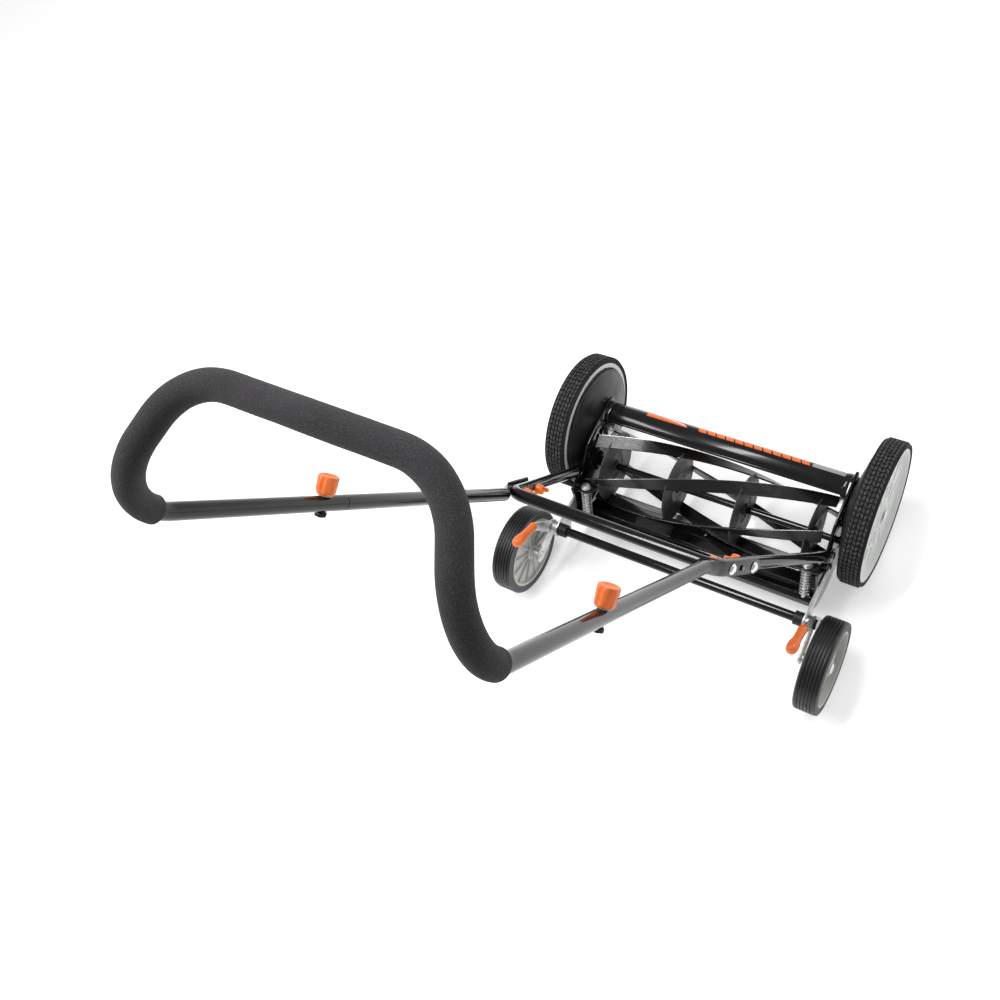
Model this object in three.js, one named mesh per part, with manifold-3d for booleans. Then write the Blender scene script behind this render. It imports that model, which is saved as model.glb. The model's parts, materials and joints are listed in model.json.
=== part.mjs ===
// Push reel mower: a five-blade reel between two side plates, driven by a ring gear in
// each main wheel, with two small height-adjusted rear wheels and a folding loop handle.
//
// Axes: +X to the mower's right seen from behind, +Y the way it mows, +Z up. Millimetres.
// The model is laid out from the floor point below the main axle, and at the end it is
// moved so that the origin is on the floor, in the middle of the machine's footprint.

import * as THREE from 'three';
import { mergeVertices } from 'three/addons/utils/BufferGeometryUtils.js';
import Module from 'manifold-3d';

const wasm = await Module();
wasm.setup();

// ---------------------------------------------------------------- driving dimensions

const gap = 0.3;                     // clearance between pieces that touch
const hole = 0.3;                    // radial clearance of a pin in its hole

// main frame
const cutWidth = 456;                // inside width between the side plates
const plateThickness = 4;
const endPlay = 2;                   // guard, cutter bar and rod stop this short of a plate

// main wheels and their drive
const wheelRadius = 127;
const wheelWidth = 38;
const wheelInset = 22.5;             // side plate's outer face to the tyre's inner face
const tyreDepth = 10;
const rimDepth = 8;
const webThickness = 3;
const axleRadius = 8;
const gearModule = 3;
const ringTeeth = 54;
const pinionTeeth = 12;
const reelAngle = THREE.MathUtils.degToRad(210.8);   // reel centre seen from the axle

// reel
const shaftRadius = 6;
const bearingRadius = 14;            // where it sits in the side plate
const bladeCount = 5;
const bladeRadius = 72.4;
const bladeWidth = 24;
const bladeThickness = 3;
const bladeLean = THREE.MathUtils.degToRad(52);      // face's turn from the radial line
const bladeTwist = THREE.MathUtils.degToRad(0.257);  // per millimetre along the shaft
const bladePhase = THREE.MathUtils.degToRad(91.4);   // first blade's edge at mid width
const bladeEndGap = 10;              // blade's end to a side plate, were the reel centred
const reelShift = -3;                // reel's middle from the mower's middle
const spiderSetback = 7.6;           // spider's rim inside the blades' edges
const spiderInset = 26;              // blade's end to the middle of the nearest spider
const spiderCount = 4;
const spiderThickness = 2.5;

// rear wheels and height adjusters
const rearRadius = 80;
const rearWidth = 40;
const rearInset = 32;                // side plate's outer face to the rear tyre's inner face
const rearTyreDepth = 14;
const rearAxleRadius = 6;
const rodSetback = 210;              // height rod behind the main axle
const rodDrop = 30;                  // and below it
const rodRadius = 8;
const armReach = 57.6;               // height rod to rear axle
const notchStep = THREE.MathUtils.degToRad(7);
const notchCount = 6;
const restNotch = 2;                 // notches below the one in use

// handle
const handlePitch = THREE.MathUtils.degToRad(58);    // from the floor
const pivotSetback = 96;             // handle's pivot behind the main axle
const pivotDrop = 4;                 // and below it
const tubeRadius = 9.5;
const tubeWall = 1.2;
const yokeLength = 402;              // pivot to the yoke's cross bar
const yokeHalfWidth = 159.6;         // at the cross bar's corner
const yokeBend = 26;
const legHalfWidth = 153;            // lower tube's line at the cross bar
const legSplay = 0.0585;             // how far a leg spreads per millimetre of rise
const jointRise = 775;               // where the upper handle meets the lower tubes
const swageLength = 68;
const knobRise = 808;
const gripRise = 1102;               // where a leg turns into the hand loop
const loopReach = 144.5;             // how far the loop comes forward of the legs
const loopDrop = 24;
const loopHalfWidth = 138;
const loopBend = 74;
const foamRise = 1036;               // where the foam starts on each leg
const foamWall = 5;
const flatThickness = 5;
const flatWidth = 22;
const boltRadius = 4;
const boltRises = [313, 376];
const rivetHeadRadius = 7;
const rivetHeadHeight = 3;

// ---------------------------------------------------------------- derived places

const tyreSides = 48;
const rearTyreSides = 36;
const tyreSeat = 0.05;               // rim's corners to the flats of its faceted tyre

function rimInTyre(radius, depth, sides) {
  return (radius - depth) * Math.cos(Math.PI / sides) - tyreSeat;
}

const plateInner = cutWidth / 2;
const plateOuter = plateInner + plateThickness;
const barHalf = plateInner - endPlay;
const wheelInner = plateOuter + wheelInset;
const wheelOuter = wheelInner + wheelWidth;
const rimRadius = rimInTyre(wheelRadius, tyreDepth, tyreSides);
const axleCentre = new THREE.Vector2(0, wheelRadius);
const gearSpan = (ringTeeth - pinionTeeth) * gearModule / 2;
const reelCentre = new THREE.Vector2(
  axleCentre.x + gearSpan * Math.cos(reelAngle),
  axleCentre.y + gearSpan * Math.sin(reelAngle));
const webInner = wheelOuter - 13.5;
const gearStart = wheelInner + 8;
const bladeLength = cutWidth - 2 * bladeEndGap;
const spiderRadius = bladeRadius - spiderSetback;
const spiderPitch = (bladeLength - 2 * spiderInset) / (spiderCount - 1);
const rodCentre = axleCentre.clone().sub(new THREE.Vector2(rodSetback, rodDrop));
const rearAxle = new THREE.Vector2(
  rodCentre.x - Math.sqrt(armReach ** 2 - (rodCentre.y - rearRadius) ** 2), rearRadius);
const rearInner = plateOuter + rearInset;
const rearOuter = rearInner + rearWidth;
const pivot = axleCentre.clone().sub(new THREE.Vector2(pivotSetback, pivotDrop));
const tabThickness = 6;
const tabInner = plateOuter + gap;
const tabOuter = tabInner + tabThickness;

// ---------------------------------------------------------------- materials

const finish = (color, roughness, metalness) =>
  () => new THREE.MeshStandardMaterial({ color, roughness, metalness });
const blackPaint = finish(0x0b0b0c, 0.3, 0.2);
const greySteel = finish(0x4a4a4c, 0.5, 0.6);
const brightSteel = finish(0xb9bcc0, 0.35, 0.9);
const zinc = finish(0xc4c6c4, 0.4, 0.8);
const rubber = finish(0x2c2c2e, 0.85, 0);
const ribbedRubber = finish(0x131314, 0.6, 0);
const greyPlastic = finish(0xbcbdb8, 0.55, 0);
const orangePlastic = finish(0xe9622a, 0.4, 0);
const blackPlastic = finish(0x151516, 0.5, 0);
const foam = finish(0x3c3a3d, 0.95, 0);

// ---------------------------------------------------------------- solid helpers

function clean(geometry) {
  const bare = geometry.clone();
  for (const name of Object.keys(bare.attributes)) {
    if (name !== 'position') bare.deleteAttribute(name);
  }
  const merged = mergeVertices(bare, 1e-4);
  const index = merged.index.array;
  const kept = [];
  for (let i = 0; i < index.length; i += 3) {
    const [a, b, c] = [index[i], index[i + 1], index[i + 2]];
    if (a !== b && b !== c && c !== a) kept.push(a, b, c);
  }
  merged.setIndex(kept);
  return merged;
}

function toSolid(geometry) {
  const mesh = clean(geometry);
  return new wasm.Manifold(new wasm.Mesh({
    numProp: 3,
    vertProperties: new Float32Array(mesh.attributes.position.array),
    triVerts: new Uint32Array(mesh.index.array),
  }));
}

function toGeometry(manifold) {
  const mesh = manifold.getMesh();
  const geometry = new THREE.BufferGeometry();
  geometry.setAttribute('position', new THREE.BufferAttribute(new Float32Array(mesh.vertProperties), 3));
  geometry.setIndex(new THREE.BufferAttribute(new Uint32Array(mesh.triVerts), 1));
  geometry.computeVertexNormals();
  return geometry;
}

function join(first, ...others) {
  return toGeometry(others.reduce((sum, next) => sum.add(toSolid(next)), toSolid(first)));
}

function cut(first, ...tools) {
  return toGeometry(tools.reduce((rest, tool) => rest.subtract(toSolid(tool)), toSolid(first)));
}

function mirrored(geometry) {
  const copy = clean(geometry);
  copy.scale(-1, 1, 1);
  const index = Array.from(copy.index.array);
  for (let i = 0; i < index.length; i += 3) [index[i], index[i + 1]] = [index[i + 1], index[i]];
  copy.setIndex(index);
  return copy;
}

// Corners evenly round a circle.
function ring(radius, sides, x = 0, y = 0) {
  return Array.from({ length: sides }, (_, i) => {
    const angle = 2 * Math.PI * i / sides;
    return new THREE.Vector2(x + radius * Math.cos(angle), y + radius * Math.sin(angle));
  });
}

// A closed outline whose corners are [x, y, fillet].
function outline(corners) {
  const shape = new THREE.Shape();
  corners.forEach(([x, y, fillet = 0], i) => {
    const here = new THREE.Vector2(x, y);
    const before = new THREE.Vector2(...corners.at(i - 1).slice(0, 2));
    const after = new THREE.Vector2(...corners[(i + 1) % corners.length].slice(0, 2));
    const start = here.clone().add(before.sub(here).setLength(fillet));
    const end = here.clone().add(after.sub(here).setLength(fillet));
    if (i === 0) shape.moveTo(start.x, start.y);
    else shape.lineTo(start.x, start.y);
    if (fillet > 0) shape.quadraticCurveTo(x, y, end.x, end.y);
  });
  return shape;
}

// A faceted hole whose flats, not its corners, are at the radius, so a pin clears it.
function bore(radius, sides, x = 0, y = 0) {
  return new THREE.Path(ring(radius / Math.cos(Math.PI / sides), sides, x, y));
}

function rectangle(width, height) {
  const [x, y] = [width / 2, height / 2];
  return outline([[-x, -y], [x, -y], [x, y], [-x, y]]);
}

// Two circles and the straight edges that touch both.
function link(a, radiusA, b, radiusB) {
  const run = b.clone().sub(a);
  const along = run.angle();
  const lean = Math.acos((radiusA - radiusB) / run.length());
  const shape = new THREE.Shape();
  shape.absarc(b.x, b.y, radiusB, along - lean, along + lean);
  shape.absarc(a.x, a.y, radiusA, along + lean, along - lean + 2 * Math.PI);
  return shape;
}

function extruded(shape, options) {
  return new THREE.ExtrudeGeometry(shape, { bevelEnabled: false, ...options });
}

// A shape drawn in the Y-Z plane and given a thickness from x0 to x1.
const sideways = new THREE.Matrix4().makeBasis(
  new THREE.Vector3(0, 1, 0), new THREE.Vector3(0, 0, 1), new THREE.Vector3(1, 0, 0));
function plate(shape, x0, x1, holes = [], curveSegments = 3) {
  const drilled = shape.clone();
  drilled.holes.push(...holes.map(([centre, radius]) => bore(radius, 12, centre.x, centre.y)));
  const geometry = extruded(drilled, { depth: x1 - x0, curveSegments });
  geometry.applyMatrix4(sideways);
  return geometry.translate(x0, 0, 0);
}

function bar(centre, radius, x0, x1, sides = 14) {
  return plate(new THREE.Shape(ring(radius, sides, centre.x, centre.y)), x0, x1);
}

// A round pin along Z, tapering to a second radius at its far end.
function pin(radius, z0, z1, sides, endRadius = radius) {
  const geometry = new THREE.CylinderGeometry(endRadius, radius, z1 - z0, sides);
  return geometry.rotateX(Math.PI / 2).translate(0, 0, (z0 + z1) / 2);
}

// What cuts a round hole along Z that a pin of the radius clears.
function drill(radius, z0, z1, sides = 12) {
  return pin((radius + hole) / Math.cos(Math.PI / sides), z0, z1, sides);
}

// A profile of [radius, x] points turned round an axle along X through a centre.
function turned(profile, sides, centre = new THREE.Vector2()) {
  const points = profile.map(([radius, x]) => new THREE.Vector2(radius, x));
  if (THREE.ShapeUtils.area(points) < 0) points.reverse();
  if (points[0].x > 0 || points.at(-1).x > 0) points.push(points[0].clone());
  const geometry = new THREE.LatheGeometry(points, sides);
  geometry.rotateZ(-Math.PI / 2);
  return geometry.translate(0, centre.x, centre.y);
}

// Straight runs between corners, joined by round bends. Sections stand only where needed.
class BentPath extends THREE.Curve {
  constructor(corners, bendRadius, bendSteps) {
    super();
    const points = corners.map((corner) => new THREE.Vector3(...corner));
    const first = points[1].clone().sub(points[0]).normalize();
    this.stations = [{ point: points[0], tangent: first }];
    for (let i = 1; i < points.length - 1; i += 1) this.addBend(points, i, bendRadius, bendSteps);
    const last = points.at(-1).clone().sub(points.at(-2)).normalize();
    this.stations.push({ point: points.at(-1), tangent: last });
    this.steps = this.stations.length - 1;
  }

  addBend(points, i, radius, steps) {
    const before = points[i - 1].clone().sub(points[i]).normalize();
    const after = points[i + 1].clone().sub(points[i]).normalize();
    const half = before.angleTo(after) / 2;
    const start = points[i].clone().addScaledVector(before, radius / Math.tan(half));
    const inward = before.clone().add(after).normalize();
    const centre = points[i].clone().addScaledVector(inward, radius / Math.sin(half));
    const out = start.clone().sub(centre).divideScalar(radius);
    const on = before.clone().negate();
    for (let k = 0; k <= steps; k += 1) {
      const angle = (Math.PI - 2 * half) * k / steps;
      const [c, s] = [Math.cos(angle), Math.sin(angle)];
      this.stations.push({
        point: centre.clone().addScaledVector(out, radius * c).addScaledVector(on, radius * s),
        tangent: on.clone().multiplyScalar(c).addScaledVector(out, -s),
      });
    }
  }

  getPointAt(u) {
    return this.stations[Math.round(u * this.steps)].point.clone();
  }

  getTangentAt(u) {
    return this.stations[Math.round(u * this.steps)].tangent.clone();
  }
}

function tube(path, radius, inside, sides) {
  const section = new THREE.Shape(ring(radius, sides));
  section.holes.push(bore(inside, sides));
  return extruded(section, { steps: path.steps, extrudePath: path });
}

// ---------------------------------------------------------------- the scene graph

const mower = new THREE.Group();
const machine = new THREE.Group();
mower.add(machine);

function add(name, geometry, material, parent = machine) {
  const mesh = new THREE.Mesh(clean(geometry), material());
  mesh.geometry.computeVertexNormals();
  mesh.name = name;
  parent.add(mesh);
}

// The right-hand piece, and its mirror image on the left.
function addPair(name, geometry, material, parent = machine) {
  add(`right_${name}`, geometry, material, parent);
  add(`left_${name}`, mirrored(geometry), material, parent);
}

// ---------------------------------------------------------------- frame

// A place on the circle that the blades sweep, or a clearance outside it.
function roundReel(degrees, clearance) {
  const angle = THREE.MathUtils.degToRad(degrees);
  const reach = bladeRadius + clearance;
  return new THREE.Vector2(reelCentre.x + reach * Math.cos(angle), reelCentre.y + reach * Math.sin(angle));
}

const guardCentre = roundReel(42, 19.23);
const guardRadius = 24;
const guardThickness = 2.5;

// The reel passes the bed knife's edge here, and the cutter bar starts a little behind it.
const knifeSlope = 0.11;
const knifeSetback = 13;
const knifeEdge = roundReel(251.4, 0.5);
const cutterFront = new THREE.Vector2(
  knifeEdge.x - knifeSetback, knifeEdge.y + knifeSetback * knifeSlope + gap);

// The bed-knife adjuster leans back and down from a lug on the plate to the cutter bar.
const lugX = plateInner - 19;
const lugCentre = roundReel(154.4, 13.97);
const adjusterLean = THREE.MathUtils.degToRad(19);
const springFoot = 39.4;             // spring's lower end above the cutter bar's front edge
const springLength = (lugCentre.y - cutterFront.y - springFoot) / Math.cos(adjusterLean);
const lugThickness = 4;
const adjusterRadius = 4;
const adjusterHead = { radius: 8, height: 6 };

// A piece drawn round +Z is set on the adjuster's line, `down` below the lug's middle.
function onAdjuster(geometry, down) {
  geometry.translate(0, 0, -down);
  geometry.rotateX(-adjusterLean);
  return geometry.translate(lugX, lugCentre.x, lugCentre.y);
}

function sidePlate() {
  const stopRadius = 4;
  const root = 1;                    // how far a stud is let into the plate
  const axleZ = axleCentre.y;
  const along = (rise, side) => new THREE.Vector2(
    pivot.x - rise * Math.cos(handlePitch) - side * Math.sin(handlePitch),
    pivot.y + rise * Math.sin(handlePitch) - side * Math.cos(handlePitch));
  const stop = along(20, 12 + stopRadius + gap);
  const shape = outline([
    [guardCentre.x + 26, guardCentre.y + 24, 10], [reelCentre.x - 12, reelCentre.y + 79, 16],
    [pivot.x + 2, pivot.y + 22, 8], [pivot.x - 12, pivot.y + 13, 6], [lugCentre.x + 8, lugCentre.y + 9, 3],
    [lugCentre.x - 13, lugCentre.y + 8, 5], [lugCentre.x - 16, lugCentre.y - 36, 20],
    [-166, axleZ - 61, 10], [-166, axleZ - 85, 10], [-112, axleZ - 109, 14], [-34, axleZ - 111, 14],
    [18, axleZ - 67, 30], [guardCentre.x + 32, axleZ - 16, 24],
  ]);
  const slot = new THREE.Vector2(reelCentre.x + 30, reelCentre.y + 60);
  const body = plate(shape, plateInner, plateOuter, [
    [axleCentre, axleRadius + hole], [reelCentre, bearingRadius + gap],
    [slot, 4], [new THREE.Vector2(slot.x - 14, slot.y + 2), 4],
  ]);
  const lug = onAdjuster(cut(
    new THREE.BoxGeometry(38.5, 20, lugThickness), drill(adjusterRadius, -lugThickness, lugThickness)), 0);
  const stopStud = bar(stop, stopRadius, plateOuter - root, tabOuter, 10);
  const pivotStud = bar(pivot, boltRadius, plateOuter - root, tabOuter + gap + root, 12);
  const rivetHead = bar(pivot, rivetHeadRadius, tabOuter + gap, tabOuter + gap + rivetHeadHeight);
  return join(body, lug, stopStud, pivotStud, rivetHead);
}

// A strip of sheet bent to an arc, with straight runs at its ends, as an outline in Y-Z.
function sheetOutline(centre, radius, thickness, from, to, steps, apron) {
  const arc = (r) => Array.from({ length: steps + 1 }, (_, i) => {
    const angle = from + (to - from) * i / steps;
    return new THREE.Vector2(centre.x + r * Math.cos(angle), centre.y + r * Math.sin(angle));
  });
  const along = new THREE.Vector2(Math.sin(to), -Math.cos(to)).multiplyScalar(apron);
  const outer = arc(radius);
  const inner = arc(radius - thickness).reverse();
  outer.push(outer.at(-1).clone().add(along));
  inner.unshift(inner[0].clone().add(along));
  return new THREE.Shape([...outer, ...inner]);
}

function topGuard() {
  const from = THREE.MathUtils.degToRad(148);
  const to = THREE.MathUtils.degToRad(-8);
  const shape = sheetOutline(guardCentre, guardRadius, guardThickness, from, to, 12, 14);
  const lip = guardCentre.clone().add(
    new THREE.Vector2(Math.cos(from), Math.sin(from)).multiplyScalar(guardRadius - 1.2));
  return join(plate(shape, -barHalf, barHalf), bar(lip, 3, -barHalf, barHalf, 10));
}

function cutterBar() {
  const [y, z] = [cutterFront.x, cutterFront.y];
  const ridge = lugCentre.x - springLength * Math.sin(adjusterLean) + 1;
  const shape = outline([
    [y, z + 3.5], [y - 17, z + 6, 3], [y - 43, z + 19.5, 3], [y - 47, z + 24.5, 2], [y - 51, z + 23.5, 2],
    [ridge, z + 29, 2], [ridge - 3, z + 33.5, 2], [ridge - 11, z + 34.5, 4], [ridge - 13, z + 18.5, 2],
    [ridge - 9.5, z + 18.5, 0.5], [ridge - 7.5, z + 28.5, 3], [y - 43, z + 15, 3],
    [y - 18, z + 18 * knifeSlope, 3], [y, z],
  ]);
  const screwHole = onAdjuster(drill(adjusterRadius, -30, 30), springLength + 6);
  return cut(plate(shape, -barHalf, barHalf, [], 2), screwHole, mirrored(screwHole));
}

function bedKnife() {
  const [y, z] = [knifeEdge.x, knifeEdge.y];
  const [depth, rise] = [31, 31 * knifeSlope];
  return plate(outline([
    [y, z], [y - depth, z + rise], [y - depth, z + rise - 3], [y - 1.5, z - 3],
  ]), -barHalf, barHalf);
}

function adjusterScrew() {
  const headSeat = lugThickness / 2 + gap;
  const shank = pin(adjusterRadius, -springLength - 20, headSeat + 2, 10);
  const head = pin(adjusterHead.radius, headSeat, headSeat + adjusterHead.height, 6);
  return onAdjuster(join(shank, head), 0);
}

class Helix extends THREE.Curve {
  constructor(radius, height, turns) {
    super();
    Object.assign(this, { radius, height, turns });
  }

  getPoint(t) {
    const angle = 2 * Math.PI * this.turns * t;
    return new THREE.Vector3(
      this.radius * Math.cos(angle), this.radius * Math.sin(angle), -this.height * t);
  }
}

function adjusterSpring() {
  const wire = 1.3;
  const turns = 4.5;
  const height = springLength - 2 * wire - 2.5;
  const coil = new Helix(8, height, turns);
  const section = new THREE.Shape(ring(wire, 5));
  const geometry = new THREE.ExtrudeGeometry(section, { steps: turns * 8, extrudePath: coil });
  return onAdjuster(geometry, lugThickness / 2 + wire + gap + 0.6);
}

add('top_guard', topGuard(), blackPaint);
add('cutter_bar', cutterBar(), blackPaint);
add('bed_knife', bedKnife(), greySteel);
addPair('side_plate', sidePlate(), blackPaint);
addPair('adjuster_screw', adjusterScrew(), zinc);
addPair('adjuster_spring', adjusterSpring(), brightSteel);

// ---------------------------------------------------------------- main wheels and drive

const axleFlange = wheelInner + 3.2;
const coverFoot = plateOuter + gap;
const coverRim = wheelInner - 0.5;
const hubEnd = wheelOuter - 5.2;

// Closed cover over the gears, coned out from the side plate to the wheel's rim.
function gearCover() {
  const rim = rimRadius - rimDepth - 3;
  const thickness = 2.2;
  const profile = [
    [axleRadius + hole, coverFoot], [40, coverFoot], [rim, coverRim - 4], [rim, coverRim],
    [rim - thickness, coverRim], [rim - thickness, coverRim - 4 + 2 * thickness / 3],
    [40 - 2, coverFoot + thickness], [axleRadius + hole, coverFoot + thickness],
  ];
  return cut(turned(profile, 28, axleCentre), bar(reelCentre, shaftRadius + 3, coverFoot - 5, coverRim + 5));
}

function axle() {
  const profile = [
    [0, plateInner - 5], [14, plateInner - 5], [14, plateInner - gap], [axleRadius, plateInner - gap],
    [axleRadius, coverFoot + 2.5], [12, coverFoot + 2.5], [12, axleFlange], [axleRadius, axleFlange],
    [axleRadius, hubEnd + gap], [13, hubEnd + gap], [13, hubEnd + 3.4], [0, hubEnd + 4.4],
  ];
  return turned(profile, 16, axleCentre);
}

function gearOutline(teeth, rootRadius, tipRadius, rootFill, tipFill, phase) {
  const step = 2 * Math.PI / teeth;
  const points = [];
  for (let i = 0; i < teeth; i += 1) {
    const middle = phase + i * step;
    for (const [radius, side] of [[rootRadius, -rootFill], [tipRadius, -tipFill],
      [tipRadius, tipFill], [rootRadius, rootFill]]) {
      const angle = middle + side * step / 2;
      points.push(new THREE.Vector2(radius * Math.cos(angle), radius * Math.sin(angle)));
    }
  }
  return points;
}

function mainWheel() {
  const hubStart = axleFlange + gap;
  const rimInside = rimRadius - rimDepth;
  const profile = [
    [axleRadius + hole, hubStart], [19, hubStart], [19, webInner], [rimInside - 3, webInner],
    [rimInside, wheelInner + 1.5], [rimRadius, wheelInner + 1.5],
    [rimRadius, wheelOuter - 1.5], [rimInside + 1, wheelOuter - 1.5],
    [rimInside - 6, webInner + webThickness], [30, webInner + webThickness], [22, hubEnd],
    [axleRadius + hole, hubEnd],
  ];
  const pitch = ringTeeth * gearModule / 2;
  const teeth = gearOutline(
    ringTeeth, pitch + 1.2 * gearModule, pitch - 0.75 * gearModule, 0.58, 0.26,
    reelAngle + Math.PI / ringTeeth);
  const gear = new THREE.Shape(ring(pitch + 2.6 * gearModule, 24));
  gear.holes.push(new THREE.Path(teeth));
  const rack = plate(gear, gearStart, webInner + 1).translate(0, axleCentre.x, axleCentre.y);
  return join(turned(profile, 32, axleCentre), rack);
}

function tyre(inner, outer, radius, depth, shoulder, sides, centre) {
  return turned([
    [radius - depth, inner + 1], [radius - shoulder, inner], [radius, inner + shoulder],
    [radius, outer - shoulder], [radius - shoulder, outer], [radius - depth, outer - 1],
  ], sides, centre);
}

function pinion() {
  const pitch = pinionTeeth * gearModule / 2;
  const teeth = gearOutline(
    pinionTeeth, pitch - 1.15 * gearModule, pitch + 0.75 * gearModule, 0.6, 0.22, reelAngle);
  const shape = new THREE.Shape(teeth);
  shape.holes.push(new THREE.Path(ring(shaftRadius + hole, 12)));
  return plate(shape, gearStart + 1, webInner - 1.5).translate(0, reelCentre.x, reelCentre.y);
}

function reelBearing() {
  return turned([
    [shaftRadius + hole, plateInner - 4], [19, plateInner - 4], [19, plateInner - gap],
    [bearingRadius, plateInner - gap], [bearingRadius, plateOuter], [shaftRadius + hole, plateOuter],
  ], 18, reelCentre);
}

addPair('gear_cover', gearCover(), blackPlastic);
addPair('axle', axle(), zinc);
addPair('wheel', mainWheel(), greyPlastic);
addPair('tyre', tyre(wheelInner, wheelOuter, wheelRadius, tyreDepth, 3, tyreSides, axleCentre), rubber);
addPair('pinion', pinion(), greySteel);
addPair('reel_bearing', reelBearing(), blackPaint);

// ---------------------------------------------------------------- reel

function reelShaft() {
  const end = webInner - 1.2;
  return bar(reelCentre, shaftRadius, -end, end, 12);
}

// A flat strip standing on the circle of its cutting edge, wound round the shaft. With a
// swell it is the same strip grown all round, to cut the slots that it sits in.
function twistedStrip(index, swell = 0) {
  const edge = new THREE.Vector2(bladeRadius + swell, 0);
  const inward = new THREE.Vector2(-Math.cos(bladeLean), Math.sin(bladeLean));
  const across = new THREE.Vector2(-Math.sin(bladeLean), -Math.cos(bladeLean));
  const thick = bladeThickness + 2 * swell;
  const foot = edge.clone().addScaledVector(inward, bladeWidth + 2 * swell);
  const section = new THREE.Shape([
    edge, foot, foot.clone().addScaledVector(across, thick),
    edge.clone().addScaledVector(inward, 0.5 * thick).addScaledVector(across, thick),
  ]);
  const depth = bladeLength + 2 * swell;
  const strip = extruded(section, { depth, steps: 22 });
  strip.applyMatrix4(sideways);
  strip.translate(reelShift - depth / 2, 0, 0);
  const place = strip.attributes.position;
  for (let i = 0; i < place.count; i += 1) {
    const angle = bladePhase + 2 * Math.PI * index / bladeCount - bladeTwist * place.getX(i);
    const [y, z] = [place.getY(i), place.getZ(i)];
    place.setY(i, reelCentre.x + y * Math.cos(angle) - z * Math.sin(angle));
    place.setZ(i, reelCentre.y + y * Math.sin(angle) + z * Math.cos(angle));
  }
  return strip;
}

function spider(x, slots) {
  const half = spiderThickness / 2;
  const disc = bar(reelCentre, spiderRadius, x - half, x + half, 40);
  const hub = bar(reelCentre, shaftRadius + 5, x - 6, x + 6, 14);
  const shaftHole = bar(reelCentre, shaftRadius + 1.5 * gap, x - 10, x + 10, 12);
  return cut(join(disc, hub), shaftHole, ...slots);
}

const bladeIndexes = Array.from({ length: bladeCount }, (_, i) => i);
const slots = bladeIndexes.map((i) => twistedStrip(i, gap));
add('reel_shaft', reelShaft(), blackPaint);
for (let i = 0; i < spiderCount; i += 1) {
  const x = reelShift + (i - (spiderCount - 1) / 2) * spiderPitch;
  add(`spider_${i + 1}`, spider(x, slots), greySteel);
}
bladeIndexes.forEach((i) => add(`reel_blade_${i + 1}`, twistedStrip(i), blackPaint));

// ---------------------------------------------------------------- rear wheels and height

const indexOuter = plateOuter + gap + 3;
const armInner = indexOuter + 11;
const armOuter = armInner + 4;
const latchRadius = 49;
const latchAngle = THREE.MathUtils.degToRad(-60);    // below the strip, ahead of the rod
const pinRadius = 2.6;
const notchRim = latchRadius - pinRadius - 0.6;
const leverTop = rodCentre.clone().add(new THREE.Vector2(-36, 69));
const gripEnd = rodCentre.clone().add(new THREE.Vector2(-89, 98));

function offset(centre, angle, radius) {
  return new THREE.Vector2(centre.x + radius * Math.cos(angle), centre.y + radius * Math.sin(angle));
}

// The six notches run from the lowest cut to the highest.
function notchAngles() {
  return Array.from({ length: notchCount }, (_, i) => latchAngle + (i - restNotch) * notchStep);
}

function indexPlate() {
  const angles = notchAngles();
  const x0 = plateOuter + gap;
  const [low, high] = [angles[0] - notchStep, angles.at(-1) + notchStep];
  const arcStart = offset(rodCentre, low, notchRim);
  const sector = new THREE.Shape();
  sector.moveTo(rodCentre.x, rodCentre.y).lineTo(arcStart.x, arcStart.y);
  sector.absarc(rodCentre.x, rodCentre.y, notchRim, low, high);
  const front = new THREE.Vector2(pivot.x - 8, pivot.y - 34);
  const strip = plate(link(front, 13, rodCentre, 15), x0, indexOuter);
  const scallop = (angle) => bar(offset(rodCentre, angle, latchRadius), 4.3, x0 - 1, indexOuter + 1, 12);
  const boss = bar(rodCentre, 12, x0, armInner - gap, 16);
  const raised = plate(sector, x0, indexOuter, [], 10);
  const rodHole = bar(rodCentre, rearAxleRadius + hole, x0 - 1, armInner + 1);
  const boltHole = bar(front, 4, x0 - 1, indexOuter + 1, 10);
  return cut(join(strip, raised, boss), rodHole, boltHole, ...angles.map(scallop));
}

function rearRod() {
  const end = armOuter + 4;
  return turned([
    [0, -end], [9, -end], [9, -armOuter - gap], [rearAxleRadius, -armOuter - gap],
    [rearAxleRadius, -plateOuter], [rodRadius, -plateOuter], [rodRadius, plateOuter],
    [rearAxleRadius, plateOuter], [rearAxleRadius, armOuter + gap], [9, armOuter + gap], [9, end], [0, end],
  ], 14, rodCentre);
}

function rodBushing() {
  return turned([
    [rodRadius + gap, plateOuter - 16], [12, plateOuter - 16], [12, plateOuter],
    [rodRadius + gap, plateOuter],
  ], 16, rodCentre);
}

function armParts(swell = 0) {
  const tangEnd = leverTop.clone().lerp(gripEnd, 0.35);
  return [
    plate(link(rodCentre, 14, rearAxle, 12), armInner, armOuter),
    plate(link(rodCentre, 12, leverTop, 6), armInner, armOuter),
    plate(link(leverTop, 6 + swell, tangEnd, 5 + swell), armInner - swell, armOuter + swell),
  ];
}

function heightArm() {
  const latch = offset(rodCentre, latchAngle, latchRadius);
  const spindle = turned([
    [0, armInner + 1], [rearAxleRadius, armInner + 1], [rearAxleRadius, rearOuter - 5.7],
    [10, rearOuter - 5.7], [10, rearOuter - 2], [0, rearOuter - 2],
  ], 14, rearAxle);
  return cut(
    join(...armParts(), plate(link(rodCentre, 10, latch, 5), armInner, armOuter),
      bar(latch, pinRadius, plateOuter + gap + 0.5, armInner + 1, 10), spindle),
    bar(rodCentre, rearAxleRadius + hole, armInner - 1, armOuter + 1));
}

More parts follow.
